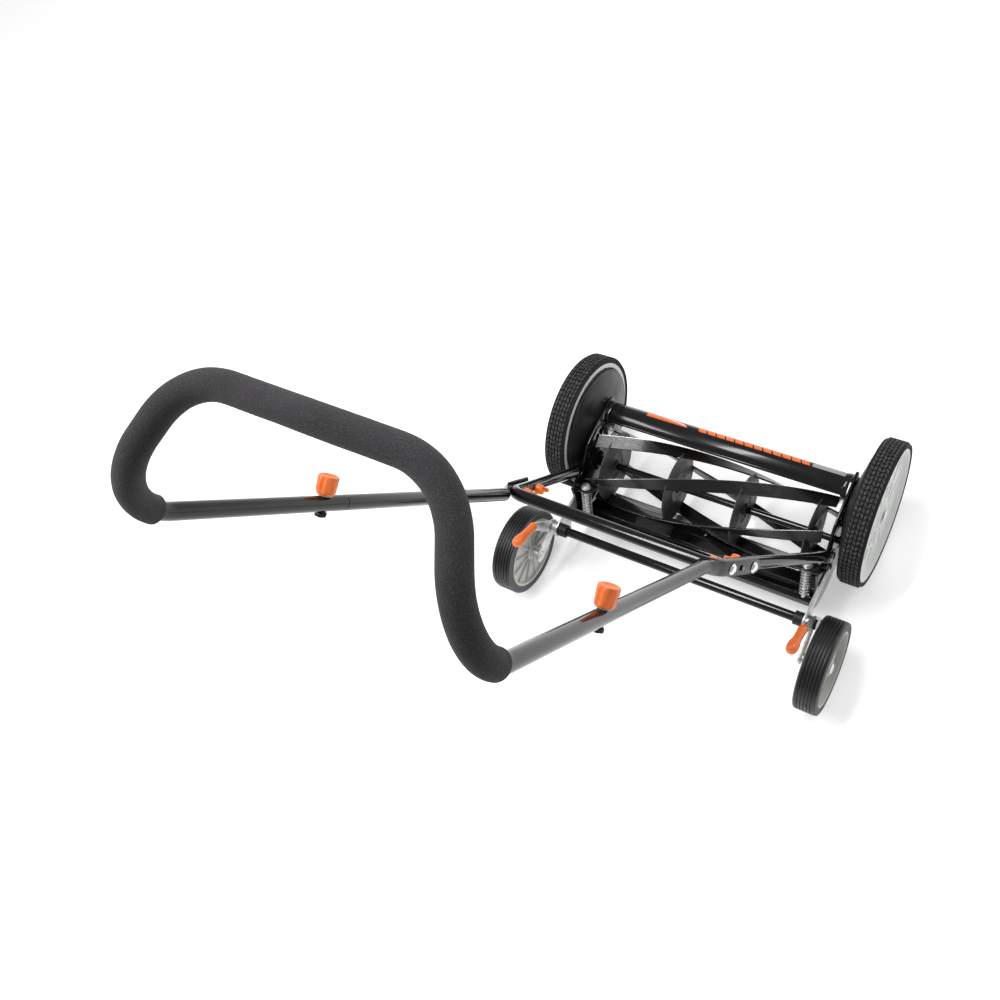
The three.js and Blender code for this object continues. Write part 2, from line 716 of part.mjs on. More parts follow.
function leverGrip() {
  const length = gripEnd.distanceTo(leverTop);
  const profile = [[0, -4], [5.5, -3], [7.5, 1], [7.2, length * 0.45], [9.5, length * 0.72],
    [9, length - 4], [5, length - 0.5], [0, length]];
  const grip = turned(profile, 14);
  grip.rotateZ(Math.PI / 2);
  grip.rotateX(gripEnd.clone().sub(leverTop).angle());
  grip.translate((armInner + armOuter) / 2, leverTop.x, leverTop.y);
  return cut(grip, ...armParts(gap).slice(1));
}

function rearWheel() {
  const rim = rimInTyre(rearRadius, rearTyreDepth, rearTyreSides);
  const web = rearInner + 7;
  return turned([
    [rearAxleRadius + hole, rearInner + 1.5], [14, rearInner + 1.5], [14, web], [rim - 5, web],
    [rim - 4, rearInner + 1.5], [rim, rearInner + 1.5], [rim, rearOuter - 1.5], [rim - 4, rearOuter - 1.5],
    [rim - 5, web + 4], [15, web + 4], [13, rearOuter - 6], [rearAxleRadius + hole, rearOuter - 6],
  ], 28, rearAxle);
}

addPair('index_plate', indexPlate(), zinc);
add('rear_rod', rearRod(), blackPaint);
addPair('rod_bushing', rodBushing(), blackPlastic);
addPair('height_arm', heightArm(), zinc);
addPair('lever_grip', leverGrip(), orangePlastic);
addPair('rear_wheel', rearWheel(), greyPlastic);
const rearTyre = tyre(rearInner, rearOuter, rearRadius, rearTyreDepth, 2, rearTyreSides, rearAxle);
addPair('rear_tyre', rearTyre, ribbedRubber);

// ---------------------------------------------------------------- handle
//
// Drawn in its own frame, from the pivot: X to the right, Y up the handle, Z out of the
// back of it, so that the knobs stand on its -Z side.

const handle = new THREE.Group();
handle.position.set(0, pivot.x, pivot.y);
handle.rotation.x = Math.PI - handlePitch;
machine.add(handle);

const armStart = tabInner + tabThickness / 2 + 2.7;
const armFoot = tubeRadius + 16.5;   // where the arm's tube starts, clear of the side plate
const armSlope = (yokeHalfWidth - armStart) / yokeLength;
const armX = (rise) => armStart + armSlope * rise;
const armTurn = Math.atan(armSlope);
const legX = (rise) => legHalfWidth + legSplay * (rise - yokeLength);
const legTurn = Math.atan(legSplay);

// Sets a piece drawn round +Y, or drawn across +X, on the arm or the leg at a rise.
function onLine(geometry, x, rise, turn) {
  geometry.rotateZ(-turn);
  return geometry.translate(x, rise, 0);
}

// What cuts the hole across the arm and the leg's flattened end for a clamp bolt.
function boltHole(rise) {
  return onLine(drill(boltRadius, -30, 30).rotateY(Math.PI / 2), armX(rise), rise, armTurn);
}

function yoke() {
  const tabEnd = 40;
  const tabMiddle = tabInner + tabThickness / 2;
  const path = new BentPath([
    [-armX(armFoot), armFoot, 0], [-yokeHalfWidth, yokeLength, 0],
    [yokeHalfWidth, yokeLength, 0], [armX(armFoot), armFoot, 0],
  ], yokeBend, 6);
  const tab = extruded(
    link(new THREE.Vector2(0, 0), 12, new THREE.Vector2(tabEnd, 0), 9),
    { depth: tabThickness, curveSegments: 4 });
  tab.applyMatrix4(sideways);
  tab.translate(tabInner, 0, 0);
  const pivotHole = drill(boltRadius, -10, 10).rotateY(Math.PI / 2).translate(tabMiddle, 0, 0);
  const holes = [pivotHole, ...boltRises.map(boltHole)];
  return cut(
    join(tube(path, tubeRadius, tubeRadius - tubeWall, 10), tab, mirrored(tab)),
    ...holes, ...holes.map(mirrored));
}

const flatMiddle = tubeRadius + gap + flatThickness / 2;

function lowerTube() {
  const flatOut = (rise) => armX(rise) + flatMiddle / Math.cos(armTurn);
  const [flatStart, flatTop] = [boltRises[0] - 17, boltRises[1] + 20];
  const tubeStart = yokeLength + 24;
  const path = new BentPath([
    [flatOut(flatStart), flatStart, 0], [flatOut(flatTop), flatTop, 0],
    [legX(tubeStart + 4), tubeStart + 4, 0], [legX(tubeStart + 24), tubeStart + 24, 0],
  ], 10, 2);
  const section = rectangle(flatWidth, flatThickness);
  const strip = extruded(section, { steps: path.steps, extrudePath: path });
  const swage = tubeRadius - tubeWall - gap;
  const body = turned([
    [0, tubeStart], [tubeRadius, tubeStart], [tubeRadius, jointRise - gap], [swage, jointRise - gap],
    [swage, jointRise + swageLength], [swage - tubeWall, jointRise + swageLength],
    [swage - tubeWall, tubeStart + 30], [0, tubeStart + 30],
  ].map(([radius, rise]) => [radius, rise - jointRise]), 14);
  body.rotateZ(Math.PI / 2);
  const tubeBody = onLine(body, legX(jointRise), jointRise, legTurn);
  return cut(join(tubeBody, strip), atKnob(drill(boltRadius, -20, 20)), ...boltRises.map(boltHole));
}

// Moves a piece drawn round Z to the clamp knob's place on the leg.
function atKnob(geometry) {
  return geometry.translate(legX(knobRise), knobRise, 0);
}

const loopCorners = (start) => [
  [-legX(start), start, 0], [-legX(gripRise), gripRise, 0], [-loopHalfWidth, gripRise - loopDrop, -loopReach],
  [loopHalfWidth, gripRise - loopDrop, -loopReach], [legX(gripRise), gripRise, 0], [legX(start), start, 0],
];

function upperHandle() {
  const path = new BentPath(loopCorners(jointRise), loopBend, 5);
  const studHole = atKnob(drill(boltRadius, -20, 20));
  return cut(tube(path, tubeRadius, tubeRadius - tubeWall, 10), studHole, mirrored(studHole));
}

function foamGrip() {
  const path = new BentPath(loopCorners(foamRise), loopBend, 5);
  return tube(path, tubeRadius + gap + foamWall, tubeRadius + gap, 10);
}

function clampKnob() {
  const seat = tubeRadius + gap;
  const body = pin(13, -seat - 23.5, -seat - 1.5, 10, 9.5);
  const washer = pin(9, -seat - 2, -seat, 14);
  const stud = pin(boltRadius, -seat - 3, seat + 6, 10);
  const nut = pin(7.5, seat, seat + 5, 6);
  return atKnob(join(body, washer, stud, nut));
}

function carriageBolt(rise) {
  const seat = flatMiddle + flatThickness / 2 + gap;
  const end = -tubeRadius - 10;
  const bolt = turned([
    [0, end], [boltRadius, end], [boltRadius, seat],
    [8, seat], [7, seat + 2.2], [3.5, seat + 3.6], [0, seat + 4],
  ], 12);
  return onLine(bolt, armX(rise), rise, armTurn);
}

function wingNut(rise) {
  const seat = -tubeRadius - gap;
  const hub = pin(8, 0, 11, 12).rotateX(-Math.PI / 2);
  const wings = extruded(outline([
    [-15, 17, 4], [-6, 6, 2], [6, 6, 2], [15, 17, 4], [9, 1, 3], [-9, 1, 3],
  ]), { depth: 6, curveSegments: 3 }).translate(0, 0, -3);
  const nut = cut(join(hub, wings), drill(boltRadius, -12, 12).rotateX(Math.PI / 2));
  nut.rotateZ(Math.PI / 2).translate(seat, 0, 0);
  return onLine(nut, armX(rise), rise, armTurn);
}

add('yoke', yoke(), blackPaint, handle);
addPair('lower_tube', lowerTube(), blackPaint, handle);
add('upper_handle', upperHandle(), blackPaint, handle);
add('foam_grip', foamGrip(), foam, handle);
addPair('clamp_knob', clampKnob(), orangePlastic, handle);
boltRises.forEach((rise, i) => {
  const place = ['front', 'rear'][i];
  addPair(`${place}_bolt`, carriageBolt(rise), brightSteel, handle);
  addPair(`${place}_wing_nut`, wingNut(rise), orangePlastic, handle);
});

// ---------------------------------------------------------------- origin

const box = new THREE.Box3().setFromObject(machine, true);
machine.position.set(-(box.min.x + box.max.x) / 2, -(box.min.y + box.max.y) / 2, -box.min.z);

export default mower;
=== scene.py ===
"""Push reel mower: the finished surfaces, floor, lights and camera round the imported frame.

The frame's axes: +X to the mower's right seen from behind, +Y the way it mows, +Z up.
Sizes are in metres. Each piece is modelled where it sits, and rides on its body.
"""

import json
import math

import bmesh
import bpy
from mathutils import Matrix, Vector

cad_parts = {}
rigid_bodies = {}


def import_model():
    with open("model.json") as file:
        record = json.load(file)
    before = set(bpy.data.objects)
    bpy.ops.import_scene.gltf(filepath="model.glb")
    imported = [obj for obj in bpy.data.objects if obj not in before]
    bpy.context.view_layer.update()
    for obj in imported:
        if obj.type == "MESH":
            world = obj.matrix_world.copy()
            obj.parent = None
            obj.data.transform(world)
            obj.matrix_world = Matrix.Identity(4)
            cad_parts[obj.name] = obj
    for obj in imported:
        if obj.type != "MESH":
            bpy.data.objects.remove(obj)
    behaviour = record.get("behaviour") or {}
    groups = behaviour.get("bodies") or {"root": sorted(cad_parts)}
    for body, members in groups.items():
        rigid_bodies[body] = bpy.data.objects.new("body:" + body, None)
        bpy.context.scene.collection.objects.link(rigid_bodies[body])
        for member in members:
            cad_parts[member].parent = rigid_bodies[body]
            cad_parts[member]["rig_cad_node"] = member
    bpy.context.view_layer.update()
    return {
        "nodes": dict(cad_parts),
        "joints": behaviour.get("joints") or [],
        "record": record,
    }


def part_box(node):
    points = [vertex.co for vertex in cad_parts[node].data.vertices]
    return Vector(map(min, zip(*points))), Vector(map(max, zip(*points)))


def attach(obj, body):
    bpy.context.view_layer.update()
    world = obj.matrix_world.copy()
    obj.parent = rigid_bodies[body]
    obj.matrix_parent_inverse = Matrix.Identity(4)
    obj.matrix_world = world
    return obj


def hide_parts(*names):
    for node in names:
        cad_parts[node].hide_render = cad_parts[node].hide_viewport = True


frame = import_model()
JOINTS = {joint["name"]: joint for joint in frame["joints"]}
X = Vector((1, 0, 0))
FULL_TURN = 2 * math.pi
ORIGIN = Vector((0, 0, 0))


def joint_place(name):
    return Vector(JOINTS[name]["pos_m"])


# ------------------------------------------------------------------ places and sizes

AXLE = joint_place("right_wheel_roll")
REEL = joint_place("reel_spin")
ROD = joint_place("right_height_pivot")
REAR_AXLE = joint_place("right_rear_roll")
PIVOT = joint_place("handle_lift")

PLATE_IN = 0.228
PLATE_OUT = 0.232
GAP = 0.0003
PAST = 0.01                              # a cutting bar runs on this far past the plate
BAR_HALF = 0.226

WHEEL_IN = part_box("right_tyre")[0].x
WHEEL_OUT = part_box("right_tyre")[1].x
WHEEL_R = 0.127
RIM_R = 0.1167
RIM_INSIDE_R = 0.1087
WEB_IN = WHEEL_OUT - 0.0135
AXLE_R = 0.008

REAR_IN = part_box("right_rear_tyre")[0].x
REAR_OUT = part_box("right_rear_tyre")[1].x
REAR_R = 0.080
REAR_RIM_R = 0.0657

BLADES = 5
BLADE_R = 0.0724
BLADE_WIDTH = 0.024
BLADE_THICK = 0.003
BLADE_LENGTH = 0.436
BLADE_STEPS = 72
BLADE_LEAN = math.radians(52)
BLADE_TWIST = math.radians(257)          # per metre of shaft
BLADE_PHASE = math.radians(91.4)
REEL_SHIFT = -0.003
SPIDER_R = 0.0648
SHAFT_R = 0.006

PITCH = math.radians(58)                 # the handle's slope from the floor
TUBE_R = 0.0095
YOKE_RISE = 0.402
YOKE_HALF = 0.1596
YOKE_BEND = 0.026
TAB_X = 0.2353
ARM_START = 0.238
ARM_SLOPE = (YOKE_HALF - ARM_START) / YOKE_RISE
LEG_SLOPE = 0.0585
LEG_HALF = 0.153
JOINT_RISE = 0.775
KNOB_RISE = 0.808
GRIP_RISE = 1.102
LOOP_HALF = 0.138
LOOP_DROP = 0.024
LOOP_REACH = 0.1445
LOOP_BEND = 0.074
FOAM_RISE = 1.036
FOAM_R = 0.0148
FOAM_LEAN = math.radians(17)             # the bend has turned this far where the foam ends
BOLT_RISES = {"front": 0.313, "rear": 0.376}

# The handle is drawn in its own frame: X right, Y up the handle, Z out of its back.
HANDLE_FRAME = Matrix.Translation(PIVOT) @ Matrix.Rotation(math.pi - PITCH, 4, "X")


# ------------------------------------------------------------------ camera, floor, light

def make_camera():
    azimuth, elevation, roll = math.radians(53.24), math.radians(58.49), math.radians(-28.73)
    back = Vector((
        math.sin(azimuth) * math.cos(elevation),
        -math.cos(azimuth) * math.cos(elevation),
        math.sin(elevation),
    ))
    data = bpy.data.cameras.new("camera")
    data.lens = 36.9
    data.sensor_width = 36
    data.shift_x, data.shift_y = -0.0447, 0.0025
    camera = bpy.data.objects.new("camera", data)
    bpy.context.scene.collection.objects.link(camera)
    camera.rotation_mode = "QUATERNION"
    turn = (-back).to_track_quat("-Z", "Y").to_matrix().to_4x4()
    camera.matrix_world = (
        Matrix.Translation((0.5125, -0.5013, 1.7212)) @ turn @ Matrix.Rotation(roll, 4, "Z"))
    bpy.context.scene.camera = camera


def make_light(name, place, target, size, power):
    data = bpy.data.lights.new(name, "AREA")
    data.shape = "RECTANGLE"
    data.size, data.size_y = size
    data.energy = power
    lamp = bpy.data.objects.new(name, data)
    bpy.context.scene.collection.objects.link(lamp)
    lamp.location = place
    lamp.rotation_mode = "QUATERNION"
    lamp.rotation_quaternion = (Vector(target) - Vector(place)).to_track_quat("-Z", "Y")


def make_studio():
    world = bpy.data.worlds.new("studio")
    world.use_nodes = True
    background = world.node_tree.nodes["Background"]
    background.inputs["Color"].default_value = (1, 1, 1, 1)
    background.inputs["Strength"].default_value = 0.40
    bpy.context.scene.world = world
    make_light("overhead", (-0.5, 0.1, 2.6), (0, 0, 0.3), (1.8, 0.32), 36)
    make_light("key", (-2.0, -0.9, 2.3), (0, 0, 0.4), (1.3, 0.6), 32)
    make_light("rim", (1.6, 2.2, 1.8), (0, 0, 0.3), (1.6, 0.4), 24)
    bpy.ops.mesh.primitive_plane_add(size=14)
    floor = bpy.context.object
    floor.name = "floor"
    floor.data.materials.append(pale_floor().material)
    scene = bpy.context.scene
    scene.view_settings.view_transform = "Standard"


# ------------------------------------------------------------------ shader maths

class Value:
    """A number that varies over a surface: arithmetic on it adds Math nodes."""

    def __init__(self, paint, socket):
        self.paint, self.socket = paint, socket

    def maths(self, operation, *others):
        return self.paint.node("ShaderNodeMath", {"operation": operation}, self, *others)

    def __add__(self, other):
        return self.maths("ADD", other)

    def __sub__(self, other):
        return self.maths("SUBTRACT", other)

    def __rsub__(self, other):
        return self.paint.node("ShaderNodeMath", {"operation": "SUBTRACT"}, other, self)

    def __mul__(self, other):
        return self.maths("MULTIPLY", other)

    def __truediv__(self, other):
        return self.maths("DIVIDE", other)

    def __gt__(self, other):
        return self.maths("GREATER_THAN", other)

    def __lt__(self, other):
        return self.maths("LESS_THAN", other)

    def __pow__(self, other):
        return self.maths("POWER", other)

    __radd__ = __add__
    __rmul__ = __mul__


class Paint:
    """One material and its shader."""

    def __init__(self, name, color, roughness, metallic=0.0, **fixed):
        self.material = bpy.data.materials.new(name)
        self.material.use_nodes = True
        self.tree = self.material.node_tree
        self.shader = self.tree.nodes["Principled BSDF"]
        self.set("Base Color", color)
        self.set("Roughness", roughness)
        self.set("Metallic", metallic)
        for socket, amount in fixed.items():
            self.set(socket.replace("_", " ").title().replace("Ior", "IOR"), amount)

    def feed(self, socket, value):
        if isinstance(value, Value):
            self.tree.links.new(value.socket, socket)
        elif isinstance(value, (tuple, list)) and len(value) == 3 and socket.type == "RGBA":
            socket.default_value = (*value, 1)
        else:
            socket.default_value = value

    def set(self, name, value):
        self.feed(self.shader.inputs[name], value)

    def node(self, kind, settings, *values, output=0, **named):
        made = self.tree.nodes.new(kind)
        for key, setting in settings.items():
            setattr(made, key, setting)
        for i, value in enumerate(values):
            self.feed(made.inputs[i], value)
        for key, value in named.items():
            self.feed(made.inputs[key.replace("_", " ").title()], value)
        return Value(self, made.outputs[output])

    def place(self, centre=(0, 0, 0), scale=(1, 1, 1)):
        """Object coordinates, moved to a centre and stretched."""
        spot = self.node("ShaderNodeTexCoord", {}, output=3)
        moved = self.node("ShaderNodeVectorMath", {"operation": "SUBTRACT"}, spot, tuple(centre))
        return self.node("ShaderNodeVectorMath", {"operation": "MULTIPLY"}, moved, tuple(scale))

    def noise(self, scale, detail=3.0, stretch=(1, 1, 1)):
        return self.node(
            "ShaderNodeTexNoise", {}, vector=self.place(scale=stretch), scale=scale, detail=detail)

    def parts(self, vector):
        """The three numbers of a vector."""
        made = self.tree.nodes.new("ShaderNodeSeparateXYZ")
        self.feed(made.inputs[0], vector)
        return [Value(self, output) for output in made.outputs]

    def radius(self, centre):
        """Distance from a line along X through the centre."""
        _, y, z = self.parts(self.place(centre))
        return (y * y + z * z) ** 0.5

    def between(self, value, low, high):
        """1 from low to high, and 0 elsewhere."""
        return (value > low) * (value < high)

    def ramp(self, value, low, high, start, end):
        """A number that goes from start to end as value goes from low to high."""
        made = self.tree.nodes.new("ShaderNodeMapRange")
        for socket, amount in zip(made.inputs, (value, low, high, start, end)):
            self.feed(socket, amount)
        return Value(self, made.outputs[0])

    def mix(self, factor, first, second):
        """A colour between two colours."""
        made = self.tree.nodes.new("ShaderNodeMix")
        made.data_type = "RGBA"
        self.feed(made.inputs[0], factor)
        self.feed(made.inputs[6], first)
        self.feed(made.inputs[7], second)
        return Value(self, made.outputs[2])

    def bump(self, height, distance, strength=1.0):
        made = self.tree.nodes.new("ShaderNodeBump")
        self.feed(made.inputs["Strength"], strength)
        self.feed(made.inputs["Distance"], distance)
        self.feed(made.inputs["Height"], height)
        self.set("Normal", Value(self, made.outputs[0]))


# ------------------------------------------------------------------ finishes

INK = (0.0035, 0.0035, 0.004)
DUSTY = (0.013, 0.0125, 0.012)


def gloss_enamel(name="gloss_enamel"):
    """Black stoved enamel with a little orange peel and dust."""
    paint = Paint(name, INK, 0.2, specular_ior_level=0.32, coat_weight=0.22, coat_roughness=0.05)
    dust = paint.noise(22, 5)
    paint.set("Base Color", paint.mix(paint.ramp(dust, 0.5, 0.75, 0, 0.5), INK, DUSTY))
    paint.set("Roughness", paint.ramp(dust, 0.35, 0.7, 0.07, 0.17))
    paint.bump(paint.noise(420, 2), 0.00006)
    return paint


def guard_enamel():
    """The guard's enamel, with plain orange bars and a pale blank plate along its top."""
    paint = gloss_enamel("guard_enamel")
    x, y, _ = paint.parts(paint.place((0, AXLE.y, 0)))
    band = paint.between(y, 0.0215, 0.0358)
    slant = x + (y - 0.030) * 0.55
    long_run = paint.between(slant, -0.054, 0.150)
    bar = paint.node("ShaderNodeMath", {"operation": "FRACT"}, (slant + 1.0) / 0.0172)
    bars = long_run * paint.between(bar, 0.08, 0.93) * band
    wedge = paint.between(x, -0.151, -0.071) * (y > 0.0215) * (y + x * 0.6 < -0.0195)
    swoosh = paint.between(y + x * 0.15, 0.0130, 0.0150) * wedge
    label = paint.between(x, 0.158, 0.215) * band
    grain = paint.noise(300, 2)
    black = paint.mix(paint.ramp(paint.noise(22, 5), 0.5, 0.75, 0, 0.5), INK, DUSTY)
    orange = paint.mix(grain, (0.74, 0.12, 0.018), (0.86, 0.19, 0.03))
    stickered = paint.mix(bars + wedge * 0.96, black, orange)
    stickered = paint.mix(swoosh, stickered, (0.75, 0.72, 0.70))
    print_lines = paint.node("ShaderNodeMath", {"operation": "FRACT"}, (y + 1.0) / 0.0032)
    silver = paint.mix(paint.between(print_lines, 0.0, 0.35), (0.36, 0.36, 0.37), (0.22, 0.22, 0.23))
    paint.set("Base Color", paint.mix(label, stickered, silver))
    paint.set("Roughness", paint.ramp(bars + wedge + label, 0, 1, 0.2, 0.42))
    return paint


def clouded(name, dark, pale, scale, roughness, grain=None, detail=4, metallic=0.0, **fixed):
    """A finish that drifts between two shades, its roughness with it; grain is its scale and depth."""
    paint = Paint(name, pale, roughness[0], metallic, **fixed)
    cloud = paint.noise(scale, detail)
    paint.set("Base Color", paint.mix(cloud, dark, pale))
    paint.set("Roughness", paint.ramp(cloud, 0.3, 0.7, *roughness))
    if grain:
        paint.bump(paint.noise(grain[0], 2), grain[1])
    return paint


def zinc_plate():
    """Bright zinc with a faint cloudy yellow cast and rolling streaks."""
    paint = Paint("zinc_plate", (0.7, 0.7, 0.68), 0.36, 1.0)
    cloud = paint.ramp(paint.noise(35, 4), 0.35, 0.7, 0, 1)
    streak = paint.noise(60, 4, stretch=(1, 1, 9))
    paint.set("Base Color", paint.mix(cloud, (0.74, 0.75, 0.76), (0.52, 0.53, 0.50)))
    paint.set("Roughness", paint.ramp(streak, 0.3, 0.7, 0.24, 0.46))
    paint.bump(streak, 0.00008)
    return paint


def satin_spider():
    """Charcoal satin coat of the reel's discs, worn a little paler towards the rim."""
    paint = Paint("satin_spider", (0.05, 0.05, 0.052), 0.55, 0.1, specular_ior_level=0.35)
    rim = paint.ramp(paint.radius(REEL), 0.058, SPIDER_R, 0, 1)
    wear = rim * paint.ramp(paint.noise(90, 4), 0.4, 0.7, 0.1, 1)
    paint.set("Base Color", paint.mix(wear, (0.046, 0.045, 0.047), (0.10, 0.099, 0.098)))
    paint.set("Roughness", paint.ramp(paint.noise(50, 4), 0.3, 0.7, 0.38, 0.6))
    paint.bump(paint.noise(500, 2), 0.00008)
    return paint


def blade_steel():
    """Black painted strip whose cutting edge is ground bright."""
    paint = Paint("blade_steel", INK, 0.3, specular_ior_level=0.3, coat_weight=0.1, coat_roughness=0.1)
    radius = paint.radius(REEL)
    ground = radius + paint.noise(60, 3) * 0.0005 > BLADE_R - 0.0002
    scratch = paint.noise(90, 3, stretch=(0.4, 6, 6))
    black = paint.mix(scratch, (0.0045, 0.0045, 0.005), (0.012, 0.0115, 0.011))
    bright = paint.mix(scratch, (0.36, 0.36, 0.37), (0.62, 0.62, 0.63))
    paint.set("Base Color", paint.mix(ground, black, bright))
    paint.set("Metallic", ground * 0.95)
    paint.set("Roughness", paint.ramp(scratch, 0.3, 0.7, 0.18, 0.34))
    paint.bump(scratch, 0.00002)
    return paint


def ground_steel():
    paint = Paint("ground_steel", (0.4, 0.4, 0.41), 0.34, 1.0)
    streak = paint.noise(80, 4, stretch=(0.3, 7, 7))
    paint.set("Base Color", paint.mix(streak, (0.10, 0.10, 0.105), (0.5, 0.5, 0.5)))
    paint.set("Roughness", paint.ramp(streak, 0.3, 0.7, 0.26, 0.5))
    paint.bump(streak, 0.0001)
    return paint


def tyre_rubber():
    """Dark grey moulded rubber, with the tread blocks' tops painted paler in cloudy patches as painted
    light and the grooves left darker as painted shade.
    """
    paint = Paint("tyre_rubber", (0.02, 0.02, 0.021), 0.85, specular_ior_level=0.3)
    # Painted light and shade: colour goes paler towards the tyre's outer radius, so the blocks' tops read
    # as lit and the grooves as shaded.
    top = paint.ramp(paint.radius(AXLE), WHEEL_R - 0.0018, WHEEL_R - 0.0003, 0, 1)
    cloud = paint.ramp(paint.noise(150, 5), 0.35, 0.68, 0.15, 1)
    paint.set("Base Color", paint.mix(top * cloud, (0.010, 0.0095, 0.0105), (0.085, 0.080, 0.080)))
    paint.set("Roughness", paint.ramp(cloud, 0, 1, 0.66, 0.92))
    paint.bump(paint.noise(900, 3), 0.00012)
    return paint


def ribbed_rubber():
    """Smooth black rubber of the rear tyres, with a paler sidewall."""
    paint = Paint("ribbed_rubber", (0.006, 0.006, 0.007), 0.4, specular_ior_level=0.4)
    x, _, _ = paint.parts(paint.place())
    across = paint.node("ShaderNodeMath", {"operation": "ABSOLUTE"}, x)
    middle = (REAR_IN + REAR_OUT) / 2
    off = paint.node("ShaderNodeMath", {"operation": "ABSOLUTE"}, across - middle)
    side = off > (REAR_OUT - REAR_IN) / 2 - 0.0025
    cloud = paint.noise(60, 4)
    tread = paint.mix(cloud, (0.004, 0.004, 0.005), (0.010, 0.010, 0.011))
    sidewall = paint.mix(cloud, (0.075, 0.073, 0.077), (0.11, 0.107, 0.11))
    paint.set("Base Color", paint.mix(side, tread, sidewall))
    paint.set("Roughness", paint.ramp(cloud, 0.3, 0.7, 0.32, 0.5) + side * 0.25)
    paint.bump(paint.noise(700, 3), 0.00006)
    return paint


def charcoal_foam():
    """Closed-cell sponge: charcoal skin full of fine pores and paler specks."""
    paint = Paint("charcoal_foam", (0.022, 0.021, 0.023), 0.95,
                  specular_ior_level=0.2, sheen_weight=0.08, sheen_roughness=0.6)
    speck = paint.noise(1000, 4)
    pore = paint.node("ShaderNodeTexVoronoi", {}, vector=paint.place(), scale=800.0)
    patch = paint.ramp(paint.noise(14, 3), 0.35, 0.7, 0, 1)
    base = paint.mix(patch, (0.018, 0.017, 0.0185), (0.028, 0.026, 0.028))
    paint.set("Base Color", paint.mix(paint.ramp(speck, 0.52, 0.68, 0, 0.6), base, (0.085, 0.080, 0.084)))
    paint.set("Roughness", paint.ramp(speck, 0.3, 0.7, 0.86, 1.0))
    paint.bump(pore * 0.6 + speck, 0.0005, 0.8)
    return paint


def pale_floor():
    paint = Paint("pale_floor", (0.93, 0.93, 0.935), 0.7, emission_strength=0.38)
    cloud = paint.noise(1.2, 2)
    paint.set("Base Color", paint.mix(cloud, (0.92, 0.92, 0.93), (0.95, 0.95, 0.95)))
    paint.set("Emission Color", (1, 1, 1))
    return paint


FINISHES = {
    "black_gloss_paint": gloss_enamel(),
    "guard_paint": guard_enamel(),
    "zinc_plate": zinc_plate(),
    "dark_steel": satin_spider(),
    "blade": blade_steel(),
    "ground": ground_steel(),
    "spring_steel": clouded(
        "spring_steel", (0.82, 0.82, 0.82), (0.5, 0.5, 0.5), 200, (0.18, 0.4), detail=3, metallic=1.0),
    "bolt_steel": clouded(
        "bolt_chrome", (0.86, 0.86, 0.87), (0.66, 0.66, 0.66), 160, (0.1, 0.26), metallic=1.0),
    "tyre_rubber": tyre_rubber(),
    "ribbed_rubber": ribbed_rubber(),
    "grey_plastic": clouded(
        "grey_plastic", (0.47, 0.47, 0.445), (0.60, 0.60, 0.575), 25, (0.42, 0.6), (1200, 0.00005),
        specular_ior_level=0.45),
    "pale": clouded(
        "pale_plastic", (0.52, 0.535, 0.52), (0.68, 0.69, 0.67), 18, (0.42, 0.6), (1200, 0.00005)),
    "black_plastic": clouded(
        "black_plastic", (0.006, 0.006, 0.007), (0.015, 0.015, 0.016), 30, (0.34, 0.5), (800, 0.00008),
        specular_ior_level=0.35),
    "orange_plastic": clouded(
        "orange_plastic", (0.70, 0.115, 0.012), (0.88, 0.20, 0.035), 70, (0.28, 0.46), (900, 0.00006),
        coat_weight=0.2, coat_roughness=0.2),
    "foam": charcoal_foam(),
}


# ------------------------------------------------------------------ modelling by hand

def only(obj):
    """Selects this object alone."""
    bpy.ops.object.select_all(action="DESELECT")
    obj.select_set(True)
    bpy.context.view_layer.objects.active = obj


def open_mesh(obj, kind="VERT"):
    only(obj)
    bpy.ops.object.mode_set(mode="EDIT")
    bpy.ops.mesh.select_mode(type=kind)


def close_mesh():
    bpy.ops.object.mode_set(mode="OBJECT")


def pick(obj, kind, test):
    """Selects, in edit mode, the verts, edges or faces whose middle passes the test."""
    mesh = bmesh.from_edit_mesh(obj.data)
    bpy.ops.mesh.select_all(action="DESELECT")
    for item in getattr(mesh, kind):
        if kind == "verts":
            middle = item.co
        elif kind == "edges":
            middle = (item.verts[0].co + item.verts[1].co) / 2
        else:
            middle = item.calc_center_median()
        if test(middle, item):
            item.select_set(True)
    mesh.select_flush_mode()
    bmesh.update_edit_mesh(obj.data)


def slide(value):
    bpy.ops.transform.translate(value=value)


def pull(value):
    """Extrudes what is selected and moves it."""
    bpy.ops.mesh.extrude_region_move(TRANSFORM_OT_translate={"value": value})


def sweep(angle, centre, steps, axis=X):
    """Spins what is selected about a line. With no window the operator turns the other way."""
    bpy.ops.mesh.spin(steps=steps, angle=-angle, center=centre, axis=axis)


def tidy_mesh(distance=1e-6):
    bpy.ops.mesh.select_all(action="SELECT")
    bpy.ops.mesh.remove_doubles(threshold=distance)
    bpy.ops.mesh.normals_make_consistent(inside=False)


def draw(corners):
    """A new object with one open line through the corners, left in edit mode, last corner selected."""
    bpy.ops.object.select_all(action="DESELECT")
    bpy.ops.mesh.primitive_plane_add(size=0.001, location=corners[0])
    obj = bpy.context.object
    bpy.ops.object.transform_apply(location=True, rotation=True, scale=True)
    open_mesh(obj)
    bpy.ops.mesh.select_all(action="SELECT")
    bpy.ops.mesh.merge(type="CENTER")
    for before, after in zip(corners, corners[1:]):
        pull(after - before)
    return obj


def apply_modifier(obj, kind, **settings):
    only(obj)
    modifier = obj.modifiers.new(kind.lower(), kind)
    for key, value in settings.items():
        setattr(modifier, key, value)
    bpy.ops.object.modifier_apply(modifier=modifier.name)


def soften(obj, width=0.0005, segments=2, angle=32):
    """Rounds the sharp edges."""
    apply_modifier(obj, "BEVEL", width=width, segments=segments, limit_method="ANGLE",
                   angle_limit=math.radians(angle), harden_normals=False)
    return obj


